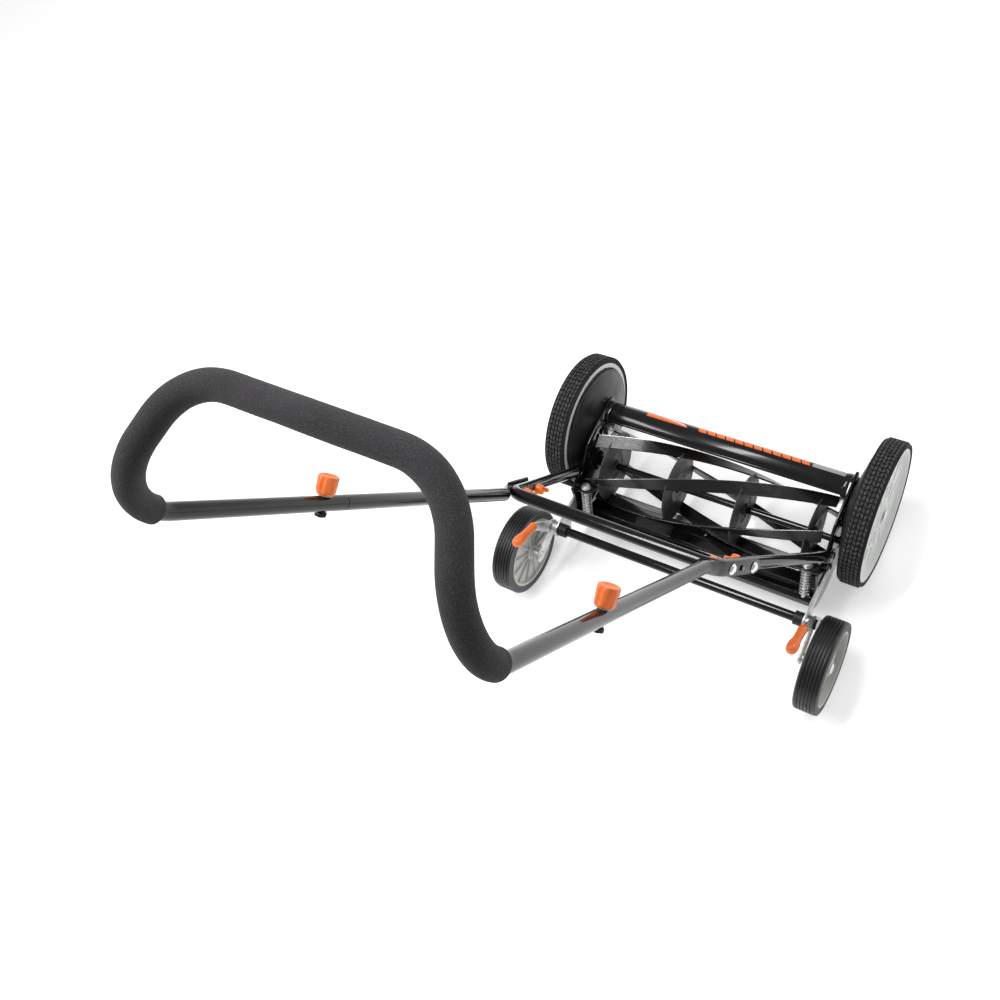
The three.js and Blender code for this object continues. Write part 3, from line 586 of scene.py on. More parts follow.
def turned(profile, centre, steps=96):
    """A profile of (radius, x) points spun round a line along X through the centre."""
    points = [Vector((x, centre.y, centre.z + radius)) for radius, x in profile]
    obj = draw(points)
    bpy.ops.mesh.select_all(action="SELECT")
    bpy.ops.mesh.spin(
        steps=steps, angle=FULL_TURN, use_auto_merge=True, center=(0, centre.y, centre.z), axis=X)
    tidy_mesh()
    close_mesh()
    return obj


def closed(profile):
    return [*profile, profile[0]]


def rounded_plate(corners, x0, x1, steps=8):
    """A flat plate from x0 to x1 whose outline's corners are (y, z, radius)."""
    points = [Vector((x0, y, z)) for y, z, _ in corners]
    obj = draw(points)
    bpy.ops.mesh.select_all(action="SELECT")
    bpy.ops.mesh.edge_face_add()
    for (y, z, radius), point in zip(corners, points):
        if radius > 0:
            pick(obj, "verts", lambda middle, _: (middle - point).length < 1e-6)
            bpy.ops.mesh.bevel(offset=radius, offset_type="OFFSET", segments=steps, affect="VERTICES")
    bpy.ops.mesh.select_all(action="SELECT")
    pull((x1 - x0, 0, 0))
    tidy_mesh(1e-5)
    close_mesh()
    return obj


def rod(start, end, radius, sides=32):
    """A round bar between two points."""
    start, end = Vector(start), Vector(end)
    run = end - start
    bpy.ops.object.select_all(action="DESELECT")
    bpy.ops.mesh.primitive_cylinder_add(vertices=sides, radius=radius, depth=run.length)
    obj = bpy.context.object
    facing = run.to_track_quat("Z", "Y").to_matrix().to_4x4()
    obj.matrix_world = Matrix.Translation((start + end) / 2) @ facing
    bpy.ops.object.transform_apply(location=True, rotation=True, scale=True)
    return obj


def along_x(spot, x0, x1, radius, sides=32):
    """A round bar from x0 to x1 through a (y, z) place."""
    return rod((x0, *spot), (x1, *spot), radius, sides)


def block(low, high):
    low, high = Vector(low), Vector(high)
    bpy.ops.object.select_all(action="DESELECT")
    bpy.ops.mesh.primitive_cube_add(size=1, location=(low + high) / 2, scale=high - low)
    bpy.ops.object.transform_apply(location=True, rotation=True, scale=True)
    return bpy.context.object


def link_plate(a, radius_a, b, radius_b, x0, x1):
    """A flat link with a round end about each of two (y, z) points."""
    a, b = Vector((x0, *a)), Vector((x0, *b))
    run = b - a
    along = math.atan2(run.z, run.y)
    lean = math.acos((radius_a - radius_b) / run.length)
    obj = draw([a + Matrix.Rotation(along + lean, 3, "X") @ Vector((0, radius_a, 0))])
    sweep(FULL_TURN - 2 * lean, a, 18)
    last = a + Matrix.Rotation(along - lean, 3, "X") @ Vector((0, radius_a, 0))
    first = b + Matrix.Rotation(along - lean, 3, "X") @ Vector((0, radius_b, 0))
    pull(first - last)
    sweep(2 * lean, b, 14)
    bpy.ops.mesh.select_all(action="SELECT")
    bpy.ops.mesh.edge_face_add()
    pull((x1 - x0, 0, 0))
    tidy_mesh()
    close_mesh()
    return obj


def combine(obj, operation, others):
    for other in others:
        apply_modifier(obj, "BOOLEAN", operation=operation, solver="EXACT", object=other)
        bpy.data.objects.remove(other)
    return obj


def cut_with(obj, *tools):
    return combine(obj, "DIFFERENCE", tools)


def weld_with(obj, *others):
    return combine(obj, "UNION", others)


def drill(obj, spot, radius, x0, x1):
    """A round hole along X through a (y, z) place of a plate from x0 to x1."""
    return cut_with(obj, along_x(spot, x0 - PAST, x1 + PAST, radius))


def gather(obj, *others):
    """Joins separate solids into one piece."""
    only(obj)
    for other in others:
        other.select_set(True)
    if others:
        bpy.ops.object.join()
    return obj


def copy_of(obj):
    copy = obj.copy()
    copy.data = obj.data.copy()
    bpy.context.scene.collection.objects.link(copy)
    return copy


def about(centre, angle):
    """Takes a piece drawn about the X axis to the line along X through the centre, and turns it."""
    return Matrix.Translation((0, centre.y, centre.z)) @ Matrix.Rotation(angle, 4, "X")


def place(obj, matrix):
    """Moves a piece drawn somewhere easy to where it sits."""
    only(obj)
    obj.matrix_world = matrix @ obj.matrix_world
    bpy.ops.object.transform_apply(location=True, rotation=True, scale=True)
    return obj


def other_side(obj):
    """The piece's mirror image across the middle of the mower."""
    copy = copy_of(obj)
    only(copy)
    copy.matrix_world = Matrix.Diagonal((-1, 1, 1, 1))
    bpy.ops.object.transform_apply(location=True, rotation=True, scale=True)
    open_mesh(copy)
    tidy_mesh(1e-7)
    close_mesh()
    return copy


def finish_piece(obj, name, body, slot, replaced, finish=None, angle=34):
    obj.name = obj.data.name = name
    obj.data.materials.clear()
    obj.data.materials.append(FINISHES[finish or slot].material)
    only(obj)
    bpy.ops.object.shade_smooth_by_angle(angle=math.radians(angle))
    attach(obj, body)
    if replaced:
        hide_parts(*replaced)


def finish_pair(obj, name, body, slot, node, finish=None, angle=34):
    """The right-hand piece and its mirror image, each on its own side's body."""
    left = other_side(obj)
    for side, piece in (("right", obj), ("left", left)):
        nodes = [f"{side}_{node}"] if node else []
        finish_piece(piece, f"{side}_{name}", body.format(side=side), slot, nodes, finish, angle)


# ------------------------------------------------------------------ main wheels

TREAD_ROWS = 5
TREAD_BLOCKS = 88
WHEEL_RIBS = 10
GEAR_TEETH = 54


def main_tyre():
    """A hard tyre: rows of small staggered blocks between two plain shoulders."""
    tread_in, tread_out = WHEEL_IN + 0.0035, WHEEL_OUT - 0.0035
    base = WHEEL_R - 0.0023
    row = (tread_out - tread_in) / TREAD_ROWS
    tread = [(base, tread_in + i * row) for i in range(TREAD_ROWS + 1)]
    obj = turned(closed([
        (RIM_R + GAP, WHEEL_IN + 0.0012), (0.1195, WHEEL_IN + 0.0002), (0.1205, WHEEL_IN + 0.0010),
        (0.1225, WHEEL_IN + 0.0010), (0.1235, WHEEL_IN), (base - 0.0008, WHEEL_IN + 0.0012), *tread,
        (base - 0.0008, WHEEL_OUT - 0.0012), (0.1235, WHEEL_OUT), (0.1225, WHEEL_OUT - 0.0010),
        (0.1205, WHEEL_OUT - 0.0010), (0.1195, WHEEL_OUT - 0.0002), (RIM_R + GAP, WHEEL_OUT - 0.0012),
    ]), AXLE, TREAD_BLOCKS)
    open_mesh(obj)
    stagger = math.radians(360 / TREAD_BLOCKS * 0.3)
    for i in range(TREAD_ROWS + 1):
        x = tread_in + i * row
        pick(obj, "verts", lambda middle, _: abs(middle.x - x) < 1e-5
             and off_line(middle, AXLE) > base - 1e-4)
        turn_about(AXLE, stagger if i % 2 else -stagger)
    bpy.ops.mesh.select_mode(type="FACE")
    pick(obj, "faces", lambda middle, face: off_line(middle, AXLE) > base - 4e-4
         and tread_in < middle.x < tread_out and abs(face.normal.x) < 0.3)
    bpy.ops.mesh.inset(thickness=0.0010, use_individual=True)
    bpy.ops.mesh.extrude_region_shrink_fatten(TRANSFORM_OT_shrink_fatten={"value": -0.0001})
    swell_from(AXLE, (WHEEL_R - 0.00005) / base)
    close_mesh()
    return obj


def off_line(point, centre):
    """Distance of a point from the line along X through the centre."""
    return math.hypot(point.y - centre.y, point.z - centre.z)


def turn_about(centre, angle):
    # With no window the operator turns the other way, so the angle is given reversed.
    bpy.ops.transform.rotate(value=-angle, orient_axis="X", center_override=centre)


def swell_from(centre, factor):
    bpy.ops.transform.resize(value=(1, factor, factor), center_override=centre)


def main_wheel():
    """Moulded wheel: rim, dished web with stiffening ribs, and a long hub."""
    hub_in, hub_out = WHEEL_IN + 0.0035, WHEEL_OUT - 0.0052
    body = turned(closed([
        (AXLE_R + GAP, hub_in), (0.019, hub_in), (0.020, WEB_IN), (0.105, WEB_IN),
        (RIM_INSIDE_R - 0.0008, WHEEL_IN + 0.0016), (RIM_INSIDE_R, WHEEL_IN + 0.0008),
        (RIM_R - 0.0012, WHEEL_IN + 0.0008), (RIM_R, WHEEL_IN + 0.0018),
        (RIM_R, WHEEL_OUT - 0.0018), (RIM_R - 0.0012, WHEEL_OUT - 0.0010),
        (RIM_INSIDE_R + 0.0030, WHEEL_OUT - 0.0010), (RIM_INSIDE_R + 0.0012, WHEEL_OUT - 0.0022),
        (RIM_INSIDE_R - 0.0040, WEB_IN + 0.0050), (RIM_INSIDE_R - 0.0090, WEB_IN + 0.0032),
        (0.062, WEB_IN + 0.0032), (0.060, WEB_IN + 0.0044), (0.056, WEB_IN + 0.0044),
        (0.054, WEB_IN + 0.0032), (0.032, WEB_IN + 0.0040), (0.024, hub_out - 0.0020),
        (0.0215, hub_out), (AXLE_R + GAP, hub_out),
    ]), AXLE, 128)
    ribs = []
    for i in range(WHEEL_RIBS):
        rib = block((WEB_IN + 0.001, -0.0013, 0.026), (WEB_IN + 0.0050, 0.0013, 0.104))
        open_mesh(rib, "FACE")
        pick(rib, "faces", lambda middle, face: face.normal.x > 0.9)
        bpy.ops.mesh.inset(thickness=0.0004)
        pick(rib, "verts", lambda middle, _: middle.z > 0.1 and middle.x > WEB_IN + 0.004)
        slide((-0.0010, 0, 0))
        close_mesh()
        ribs.append(place(rib, about(AXLE, FULL_TURN * i / WHEEL_RIBS)))
    return gather(body, *ribs)


def ring_gear():
    """The teeth inside the wheel, seen only with the cover off."""
    pitch, module = 0.081, 0.003
    x0, x1 = WHEEL_IN + 0.008, WEB_IN + 0.0005
    root, back = pitch + 1.3 * module, pitch + 2.6 * module
    obj = turned(closed([(back, x0), (root, x0), (root, x1), (back, x1)]), AXLE, 2 * GEAR_TEETH)
    reel_angle = math.atan2(REEL.z - AXLE.z, REEL.y - AXLE.y)
    teeth = []
    for i in range(GEAR_TEETH):
        angle = reel_angle + FULL_TURN * (i + 0.5) / GEAR_TEETH
        tooth = block((x0, pitch - 0.75 * module, -0.0021), (x1, pitch + 1.5 * module, 0.0021))
        open_mesh(tooth)
        pick(tooth, "verts", lambda middle, _: middle.y < pitch)
        bpy.ops.transform.resize(value=(1, 1, 0.5), center_override=(0, 0, 0))
        close_mesh()
        teeth.append(place(tooth, about(AXLE, angle)))
    return gather(obj, *teeth)


def gear_cover():
    """Pressed cover that closes the wheel's inner side, coned out to the rim."""
    rim = 0.1057
    foot = PLATE_OUT + GAP
    edge = WHEEL_IN - 0.0005
    obj = turned(closed([
        (AXLE_R + GAP, foot), (0.040, foot), (0.046, foot + 0.0020), (0.072, foot + 0.0086),
        (0.075, foot + 0.0100), (0.0795, foot + 0.0112), (0.0985, edge - 0.0062), (0.1015, edge - 0.0040),
        (0.1040, edge - 0.0040), (rim, edge - 0.0028), (rim, edge), (rim - 0.0020, edge),
        (rim - 0.0022, edge - 0.0020), (0.1000, edge - 0.0022), (0.078, foot + 0.0134),
        (0.072, foot + 0.0108), (0.044, foot + 0.0044), (0.038, foot + 0.0022),
        (AXLE_R + GAP, foot + 0.0022),
    ]), AXLE, 128)
    drill(obj, REEL.yz, SHAFT_R + 0.003, foot, edge)
    return gather(obj, *bolt_ring(AXLE, 0.060, 70, foot + 0.0022, foot + 0.0060, 0.0042, 0.0004))


def bolt_ring(centre, radius, first, x0, x1, size, edge):
    """Three hexagon heads evenly round a line along X, the first at an angle in degrees."""
    heads = []
    for turn in range(first, first + 360, 120):
        spot = centre + Matrix.Rotation(math.radians(turn), 3, "X") @ Vector((0, radius, 0))
        heads.append(soften(along_x(spot.yz, x0, x1, size, 6), edge))
    return heads


def axle_stub():
    """Shouldered axle bolt with its washers and dome nut."""
    foot = PLATE_OUT + GAP
    flange = WHEEL_IN + 0.0032
    hub = WHEEL_OUT - 0.0052
    obj = turned([
        (0, PLATE_IN - 0.0048), (0.0128, PLATE_IN - 0.0048), (0.0140, PLATE_IN - 0.0036),
        (0.0140, PLATE_IN - GAP), (AXLE_R, PLATE_IN - GAP), (AXLE_R, foot + 0.0025),
        (0.0120, foot + 0.0025), (0.0120, flange),
        (AXLE_R, flange), (AXLE_R, hub + GAP), (0.0130, hub + GAP), (0.0130, hub + 0.0016),
        (0.0078, hub + 0.0017), (0.0074, hub + 0.0030), (0.0055, hub + 0.0042), (0, hub + 0.0044),
    ], AXLE, 64)
    return gather(obj, soften(along_x(AXLE.yz, hub + 0.0016, hub + 0.0036, 0.0108, 6), 0.0006))


def reel_bearing():
    obj = turned(closed([
        (SHAFT_R + GAP, PLATE_IN - 0.004), (0.0105, PLATE_IN - 0.004), (0.0110, PLATE_IN - 0.0034),
        (0.0120, PLATE_IN - 0.0034), (0.0125, PLATE_IN - 0.004), (0.0180, PLATE_IN - 0.0036),
        (0.0190, PLATE_IN - 0.0026), (0.0190, PLATE_IN - GAP), (0.014, PLATE_IN - GAP),
        (0.014, PLATE_OUT), (SHAFT_R + GAP, PLATE_OUT),
    ]), REEL, 64)
    return gather(obj, *bolt_ring(REEL, 0.0155, 35, PLATE_IN - 0.0048, PLATE_IN - 0.003, 0.0022, 0.0003))


def make_wheels():
    finish_pair(main_tyre(), "treaded_tyre", "{side}_main_wheel", "tyre_rubber", "tyre", angle=50)
    finish_pair(
        soften(main_wheel(), 0.0004), "moulded_wheel", "{side}_main_wheel", "grey_plastic", "wheel", "pale")
    finish_pair(ring_gear(), "ring_gear", "{side}_main_wheel", "grey_plastic", None)
    finish_pair(soften(gear_cover(), 0.0003), "wheel_gear_cover", "frame", "black_plastic", "gear_cover")
    finish_pair(axle_stub(), "axle_bolt", "frame", "zinc_plate", "axle")
    finish_pair(reel_bearing(), "reel_bearing_cap", "frame", "black_gloss_paint", "reel_bearing")


# ------------------------------------------------------------------ reel

def twist_with_x(obj, per_metre):
    """Winds a long piece round the X axis, by so much a metre."""
    places = [vert.co.x for vert in obj.data.vertices]
    apply_modifier(obj, "SIMPLE_DEFORM", deform_method="TWIST", deform_axis="X",
                   angle=per_metre * (max(places) - min(places)))


def blade_strip():
    """One flat strip, wound round the shaft, drawn about the X axis at no turn at mid width."""
    inward = Vector((0, -math.cos(BLADE_LEAN), math.sin(BLADE_LEAN)))
    across = Vector((0, -math.sin(BLADE_LEAN), -math.cos(BLADE_LEAN)))
    edge = Vector((-BLADE_LENGTH / 2, BLADE_R, 0))
    foot = edge + inward * BLADE_WIDTH
    back = across * BLADE_THICK
    obj = draw([edge, foot, foot + back, edge + inward * BLADE_THICK * 0.5 + back])
    bpy.ops.mesh.select_all(action="SELECT")
    bpy.ops.mesh.edge_face_add()
    for _ in range(BLADE_STEPS):
        pull((BLADE_LENGTH / BLADE_STEPS, 0, 0))
    tidy_mesh()
    close_mesh()
    twist_with_x(obj, -BLADE_TWIST)
    return soften(obj, 0.0003, 1, 40)


def reel_blades():
    first = blade_strip()
    blades = [first] + [copy_of(first) for _ in range(BLADES - 1)]
    for i, blade in enumerate(blades):
        # The strip was twisted about its own middle, a little left of the mower's.
        turn = BLADE_PHASE + FULL_TURN * i / BLADES - BLADE_TWIST * REEL_SHIFT
        place(blade, Matrix.Translation((REEL_SHIFT, REEL.y, REEL.z)) @ Matrix.Rotation(turn, 4, "X"))
        finish_piece(
            blade, f"helical_blade_{i + 1}", "reel", "black_gloss_paint", [f"reel_blade_{i + 1}"], "blade")


def spider_disc(x):
    """A pressed disc with a rolled rim, a hub collar and a raised ring."""
    half = 0.00125
    profile = [
        (SHAFT_R + GAP, x - 0.006), (0.0104, x - 0.006), (0.0110, x - 0.0054), (0.0112, x - half),
        (0.024, x - half), (0.0255, x - half - 0.0008), (0.0285, x - half - 0.0008), (0.030, x - half),
        (SPIDER_R - 0.0012, x - half), (SPIDER_R, x - half + 0.0008),
    ]
    mirror = [(radius, 2 * x - at) for radius, at in reversed(profile)]
    return turned(closed(profile + mirror), REEL, 96)


def reel_shaft():
    end = WEB_IN - 0.0012
    swell = SHAFT_R + 0.0004
    return turned([
        (0, -end), (SHAFT_R - 0.0008, -end), (SHAFT_R, -end + 0.0008), (SHAFT_R, -0.196), (swell, -0.1955),
        (swell, 0.1895), (SHAFT_R, 0.190), (SHAFT_R, end - 0.0008), (SHAFT_R - 0.0008, end), (0, end),
    ], REEL, 48)


def make_reel():
    reel_blades()
    finish_piece(reel_shaft(), "drive_shaft", "reel", "black_gloss_paint", ["reel_shaft"])
    for i in range(4):
        node = f"spider_{i + 1}"
        low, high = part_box(node)
        finish_piece(soften(spider_disc((low.x + high.x) / 2), 0.0003), f"reel_disc_{i + 1}", "reel",
                     "dark_steel", [node])


# ------------------------------------------------------------------ frame

GUARD = Vector((0, AXLE.y + 0.014, 0.156))
GUARD_R = 0.024


def top_guard():
    """A curved sheet between the plates: a beaded lip at the back, an apron at the front."""
    start, end = math.radians(148), math.radians(-8)
    first = GUARD + Vector((-BAR_HALF, math.cos(start) * GUARD_R, math.sin(start) * GUARD_R))
    obj = draw([first])
    sweep(end - start, (-BAR_HALF, GUARD.y, GUARD.z), 36)
    pull((0, math.sin(end) * 0.0125, -math.cos(end) * 0.0125))
    pull((0, -0.0012, -0.0012))
    bpy.ops.mesh.select_all(action="SELECT")
    pull((2 * BAR_HALF, 0, 0))
    tidy_mesh()
    close_mesh()
    apply_modifier(obj, "SOLIDIFY", thickness=0.0022, offset=inward_offset(obj, GUARD))
    open_mesh(obj)
    tidy_mesh(1e-7)
    close_mesh()
    bead = GUARD + Vector((0, math.cos(start), math.sin(start))) * (GUARD_R - 0.0014)
    lip = soften(rod((-BAR_HALF, bead.y, bead.z), (BAR_HALF, bead.y, bead.z), 0.0030, 24), 0.0006)
    return gather(soften(obj, 0.0005), lip)


def inward_offset(obj, centre):
    """Which way Solidify has to go for the wall to lie inside the sheet."""
    face = max(obj.data.polygons, key=lambda p: p.center.z)
    outward = face.center.z > centre.z
    up = face.normal.z > 0
    return -1 if up == outward else 1


def guard_cap(side):
    """The rolled collar at each end of the guard."""
    start, end = math.radians(158), math.radians(-16)
    x = side * (BAR_HALF - 0.009)
    obj = draw([GUARD + Vector((x, math.cos(start) * 0.0236, math.sin(start) * 0.0236))])
    sweep(end - start, (x, GUARD.y, GUARD.z), 30)
    bpy.ops.mesh.select_all(action="SELECT")
    pull((side * 0.009, 0, 0))
    tidy_mesh()
    close_mesh()
    apply_modifier(obj, "SOLIDIFY", thickness=0.0018, offset=-inward_offset(obj, GUARD))
    return soften(obj, 0.0004)


def guard_bracket():
    """Small bright angle with a screw, under the guard's end."""
    x0, x1 = 0.2135, PLATE_IN
    y, z = GUARD.y - 0.0165, GUARD.z - 0.017
    leg = block((x0, y - 0.006, z - 0.0012), (x1, y + 0.010, z + 0.0006))
    post = block((x1 - 0.0018, y - 0.006, z - 0.012), (x1, y + 0.010, z))
    hole = Vector((x0 + 0.007, y + 0.001, z))
    up = Vector((0, 0, 1))
    screw = soften(rod(hole + up * 0.0004, hole + up * 0.0040, 0.0038, 6), 0.0005)
    washer = soften(rod(hole, hole + up * 0.0014, 0.0055, 28), 0.0003)
    return gather(soften(leg, 0.0004), soften(post, 0.0004), screw, washer)


KNIFE_ANGLE = math.radians(251.4)
KNIFE_SLOPE = 0.11
KNIFE = REEL + Vector((0, math.cos(KNIFE_ANGLE), math.sin(KNIFE_ANGLE))) * (BLADE_R + 0.0005)


def cutter_bar():
    """Wide pressed bar behind the knife, with two long stiffening ridges."""
    y, z = KNIFE.y - 0.013, KNIFE.z + 0.013 * KNIFE_SLOPE + GAP
    corners = [
        (y, z + 0.0035, 0.0006), (y - 0.017, z + 0.006, 0.003), (y - 0.043, z + 0.0195, 0.003),
        (y - 0.047, z + 0.0245, 0.002), (y - 0.051, z + 0.0235, 0.002), (y - 0.063, z + 0.029, 0.002),
        (y - 0.066, z + 0.0335, 0.002), (y - 0.074, z + 0.0345, 0.004), (y - 0.076, z + 0.0185, 0.0006),
        (y - 0.0725, z + 0.0185, 0.0005), (y - 0.0705, z + 0.0285, 0.003), (y - 0.043, z + 0.015, 0.003),
        (y - 0.018, z + 0.018 * KNIFE_SLOPE, 0.003), (y, z, 0.0004),
    ]
    obj = rounded_plate(corners, -BAR_HALF, BAR_HALF, 5)
    rivets = []
    for i in range(5):
        x = -0.176 + i * 0.088
        spot = Vector((x, y - 0.0095, z + 0.0044))
        rivets.append(turned_stud(spot, Vector((0, -0.14, 1)), 0.0042, 0.0016))
    return gather(obj, *rivets)


def turned_stud(spot, out, radius, height):
    """A low domed rivet or bolt head standing on a surface."""
    obj = turned([
        (0, -0.001), (radius, -0.001), (radius, height * 0.3), (radius * 0.86, height * 0.7),
        (radius * 0.5, height * 0.95), (0, height),
    ], ORIGIN, 28)
    turn = out.to_track_quat("X", "Z").to_matrix().to_4x4()
    return place(obj, Matrix.Translation(spot) @ turn)


def bed_knife():
    y, z = KNIFE.y, KNIFE.z
    depth, rise = 0.031, 0.031 * KNIFE_SLOPE
    return rounded_plate([
        (y, z, 0), (y - depth, z + rise, 0.0004),
        (y - depth, z + rise - 0.003, 0.0004), (y - 0.0015, z - 0.003, 0.0002),
    ], -BAR_HALF, BAR_HALF, 2)


ADJUSTER = joint_place("right_adjuster_turn")
ADJUSTER_LEAN = math.radians(19)
SPRING_LENGTH = 0.069
# A piece drawn down -Z from the lug's middle is set on the adjuster's line.
ADJUSTER_FRAME = Matrix.Translation(ADJUSTER) @ Matrix.Rotation(-ADJUSTER_LEAN, 4, "X")


def side_plate():
    """Heavy steel side of the frame, with its adjuster lug, stop stud and handle pivot."""
    stop_side = 0.012 + 0.004 + GAP
    stop = PIVOT + Vector((
        0, -0.020 * math.cos(PITCH) - stop_side * math.sin(PITCH),
        0.020 * math.sin(PITCH) - stop_side * math.cos(PITCH)))
    corners = [
        (GUARD.y + 0.026, GUARD.z + 0.024, 0.010), (REEL.y - 0.012, REEL.z + 0.079, 0.016),
        (PIVOT.y + 0.002, PIVOT.z + 0.022, 0.008), (PIVOT.y - 0.012, PIVOT.z + 0.013, 0.006),
        (ADJUSTER.y + 0.008, ADJUSTER.z + 0.009, 0.003), (ADJUSTER.y - 0.013, ADJUSTER.z + 0.008, 0.005),
        (ADJUSTER.y - 0.016, ADJUSTER.z - 0.036, 0.020), (AXLE.y - 0.166, 0.066, 0.010),
        (AXLE.y - 0.166, 0.042, 0.010), (AXLE.y - 0.112, 0.018, 0.014), (AXLE.y - 0.034, 0.016, 0.014),
        (AXLE.y + 0.018, 0.060, 0.030), (GUARD.y + 0.032, AXLE.z - 0.016, 0.024),
    ]
    obj = rounded_plate(corners, PLATE_IN, PLATE_OUT, 8)
    slot = Vector((0, REEL.y + 0.030, REEL.z + 0.060))
    holes = [
        (AXLE, AXLE_R + GAP), (REEL, 0.0143), (slot, 0.004), (slot + Vector((0, -0.014, 0.002)), 0.004),
        (PIVOT + Vector((0, 0.024, 0.020)), 0.0032),
    ]
    for centre, radius in holes:
        drill(obj, centre.yz, radius, PLATE_IN, PLATE_OUT)
    soften(obj, 0.0006)
    lug = block((-0.01925, -0.010, -0.002), (0.01925, 0.010, 0.002))
    cut_with(lug, rod((0, 0, -PAST), (0, 0, PAST), 0.0043))
    lug = place(soften(lug, 0.0008), ADJUSTER_FRAME)
    stud = soften(along_x(stop.yz, PLATE_OUT - 0.001, TAB_X + 0.003, 0.004), 0.0006)
    return gather(obj, lug, stud)


def adjuster_screw():
    head_low = 0.0023
    shank = rod((0, 0, head_low + 0.001), (0, 0, -SPRING_LENGTH - 0.020), 0.0037)
    thread = screw_thread(0.0040, -SPRING_LENGTH - 0.019, -0.006)
    head = soften(rod((0, 0, head_low), (0, 0, head_low + 0.006), 0.008, 6), 0.0008)
    collar = soften(rod((0, 0, head_low), (0, 0, head_low + 0.0012), 0.0086), 0.0003)
    return place(gather(shank, thread, head, collar), ADJUSTER_FRAME)


def helix(radius, wire, low, turns, rise, sides=10, steps=28):
    """A round wire wound up the Z axis."""
    bpy.ops.object.select_all(action="DESELECT")
    bpy.ops.mesh.primitive_circle_add(
        vertices=sides, radius=wire, location=(radius, 0, low), rotation=(math.pi / 2, 0, 0))
    obj = bpy.context.object
    bpy.ops.object.transform_apply(location=True, rotation=True, scale=True)
    apply_modifier(
        obj, "SCREW", axis="Z", iterations=turns, screw_offset=rise, steps=steps, render_steps=steps)
    open_mesh(obj, "EDGE")
    bpy.ops.mesh.select_all(action="DESELECT")
    bpy.ops.mesh.select_non_manifold()
    bpy.ops.mesh.edge_face_add()
    close_mesh()
    return obj


def screw_thread(radius, low, high):
    pitch = 0.0016
    turns = int((high - low) / pitch)
    return helix(radius - 0.0004, 0.0005, low, turns, pitch, 5, 14)


def adjuster_spring():
    wire = 0.0013
    turns = 9
    top = -0.002 - wire - GAP - 0.0006
    rise = (SPRING_LENGTH - 2 * wire - 0.0025) / turns
    obj = helix(0.008, wire, top - turns * rise, turns, rise)
    open_mesh(obj)
    tidy_mesh(1e-7)
    close_mesh()
    return place(obj, ADJUSTER_FRAME)


def make_frame():
    finish_piece(top_guard(), "blade_guard", "frame", "black_gloss_paint", ["top_guard"], "guard_paint")
    finish_piece(guard_cap(1), "right_guard_collar", "frame", "black_gloss_paint", [])
    finish_piece(guard_cap(-1), "left_guard_collar", "frame", "black_gloss_paint", [])
    finish_pair(guard_bracket(), "guard_bracket", "frame", "zinc_plate", None)
    finish_piece(
        soften(cutter_bar(), 0.0003), "ridged_cutter_bar", "frame", "black_gloss_paint", ["cutter_bar"])
    finish_piece(bed_knife(), "bed_knife_strip", "frame", "dark_steel", ["bed_knife"], "ground")
    finish_pair(side_plate(), "frame_side", "frame", "black_gloss_paint", "side_plate")
    finish_pair(adjuster_screw(), "bedding_screw", "{side}_adjuster", "zinc_plate", "adjuster_screw")
    finish_pair(adjuster_spring(), "bedding_spring", "frame", "spring_steel", "adjuster_spring")


# ------------------------------------------------------------------ rear wheels and height

INDEX_IN = PLATE_OUT + GAP
INDEX_OUT = INDEX_IN + 0.003
ARM_IN = INDEX_OUT + 0.011
ARM_OUT = ARM_IN + 0.004
ROD_AT = (ROD.y, ROD.z)
REAR_AT = (REAR_AXLE.y, REAR_AXLE.z)
LEVER_TOP = (ROD.y - 0.036, ROD.z + 0.069)
GRIP_END = (ROD.y - 0.089, ROD.z + 0.098)
TANG_END = tuple(top + 0.35 * (end - top) for top, end in zip(LEVER_TOP, GRIP_END))
LATCH_RADIUS = 0.049
LATCH_ANGLE = math.radians(-60)
NOTCH_STEP = math.radians(7)
REAR_WEB = REAR_IN + 0.007
ROD_BORE = 0.0063
OUTER_RIBS = 16
INNER_RIBS = 12


def round_rod(angle, radius):
    """A (y, z) place seen from the height rod."""
    return ROD.y + radius * math.cos(angle), ROD.z + radius * math.sin(angle)


def rear_tyre():
    """Smooth tyre with six ribs round it."""
    ribs = 6
    shoulder = 0.0035
    step = (REAR_OUT - REAR_IN - 2 * shoulder) / ribs
    tread = []
    for i in range(ribs):
        x = REAR_IN + shoulder + i * step
        tread += [(REAR_R - 0.0002, x), (REAR_R, x + 0.0007), (REAR_R, x + step - 0.0022),
                  (REAR_R - 0.0002, x + step - 0.0015), (REAR_R - 0.0018, x + step - 0.0013),
                  (REAR_R - 0.0018, x + step - 0.0002)]
    tread = tread[:-2]
    return turned(closed([
        (REAR_RIM_R + GAP, REAR_IN + 0.0010), (0.0690, REAR_IN + 0.0004), (0.0700, REAR_IN + 0.0012),
        (0.0725, REAR_IN + 0.0012), (0.0735, REAR_IN), (0.0770, REAR_IN + 0.0002),
        (0.0788, REAR_IN + 0.0012),
        *tread, (0.0788, REAR_OUT - 0.0012), (0.0770, REAR_OUT - 0.0002), (0.0735, REAR_OUT),
        (0.0725, REAR_OUT - 0.0012), (0.0700, REAR_OUT - 0.0012), (0.0690, REAR_OUT - 0.0004),
        (REAR_RIM_R + GAP, REAR_OUT - 0.0010),
    ]), REAR_AXLE, 120)


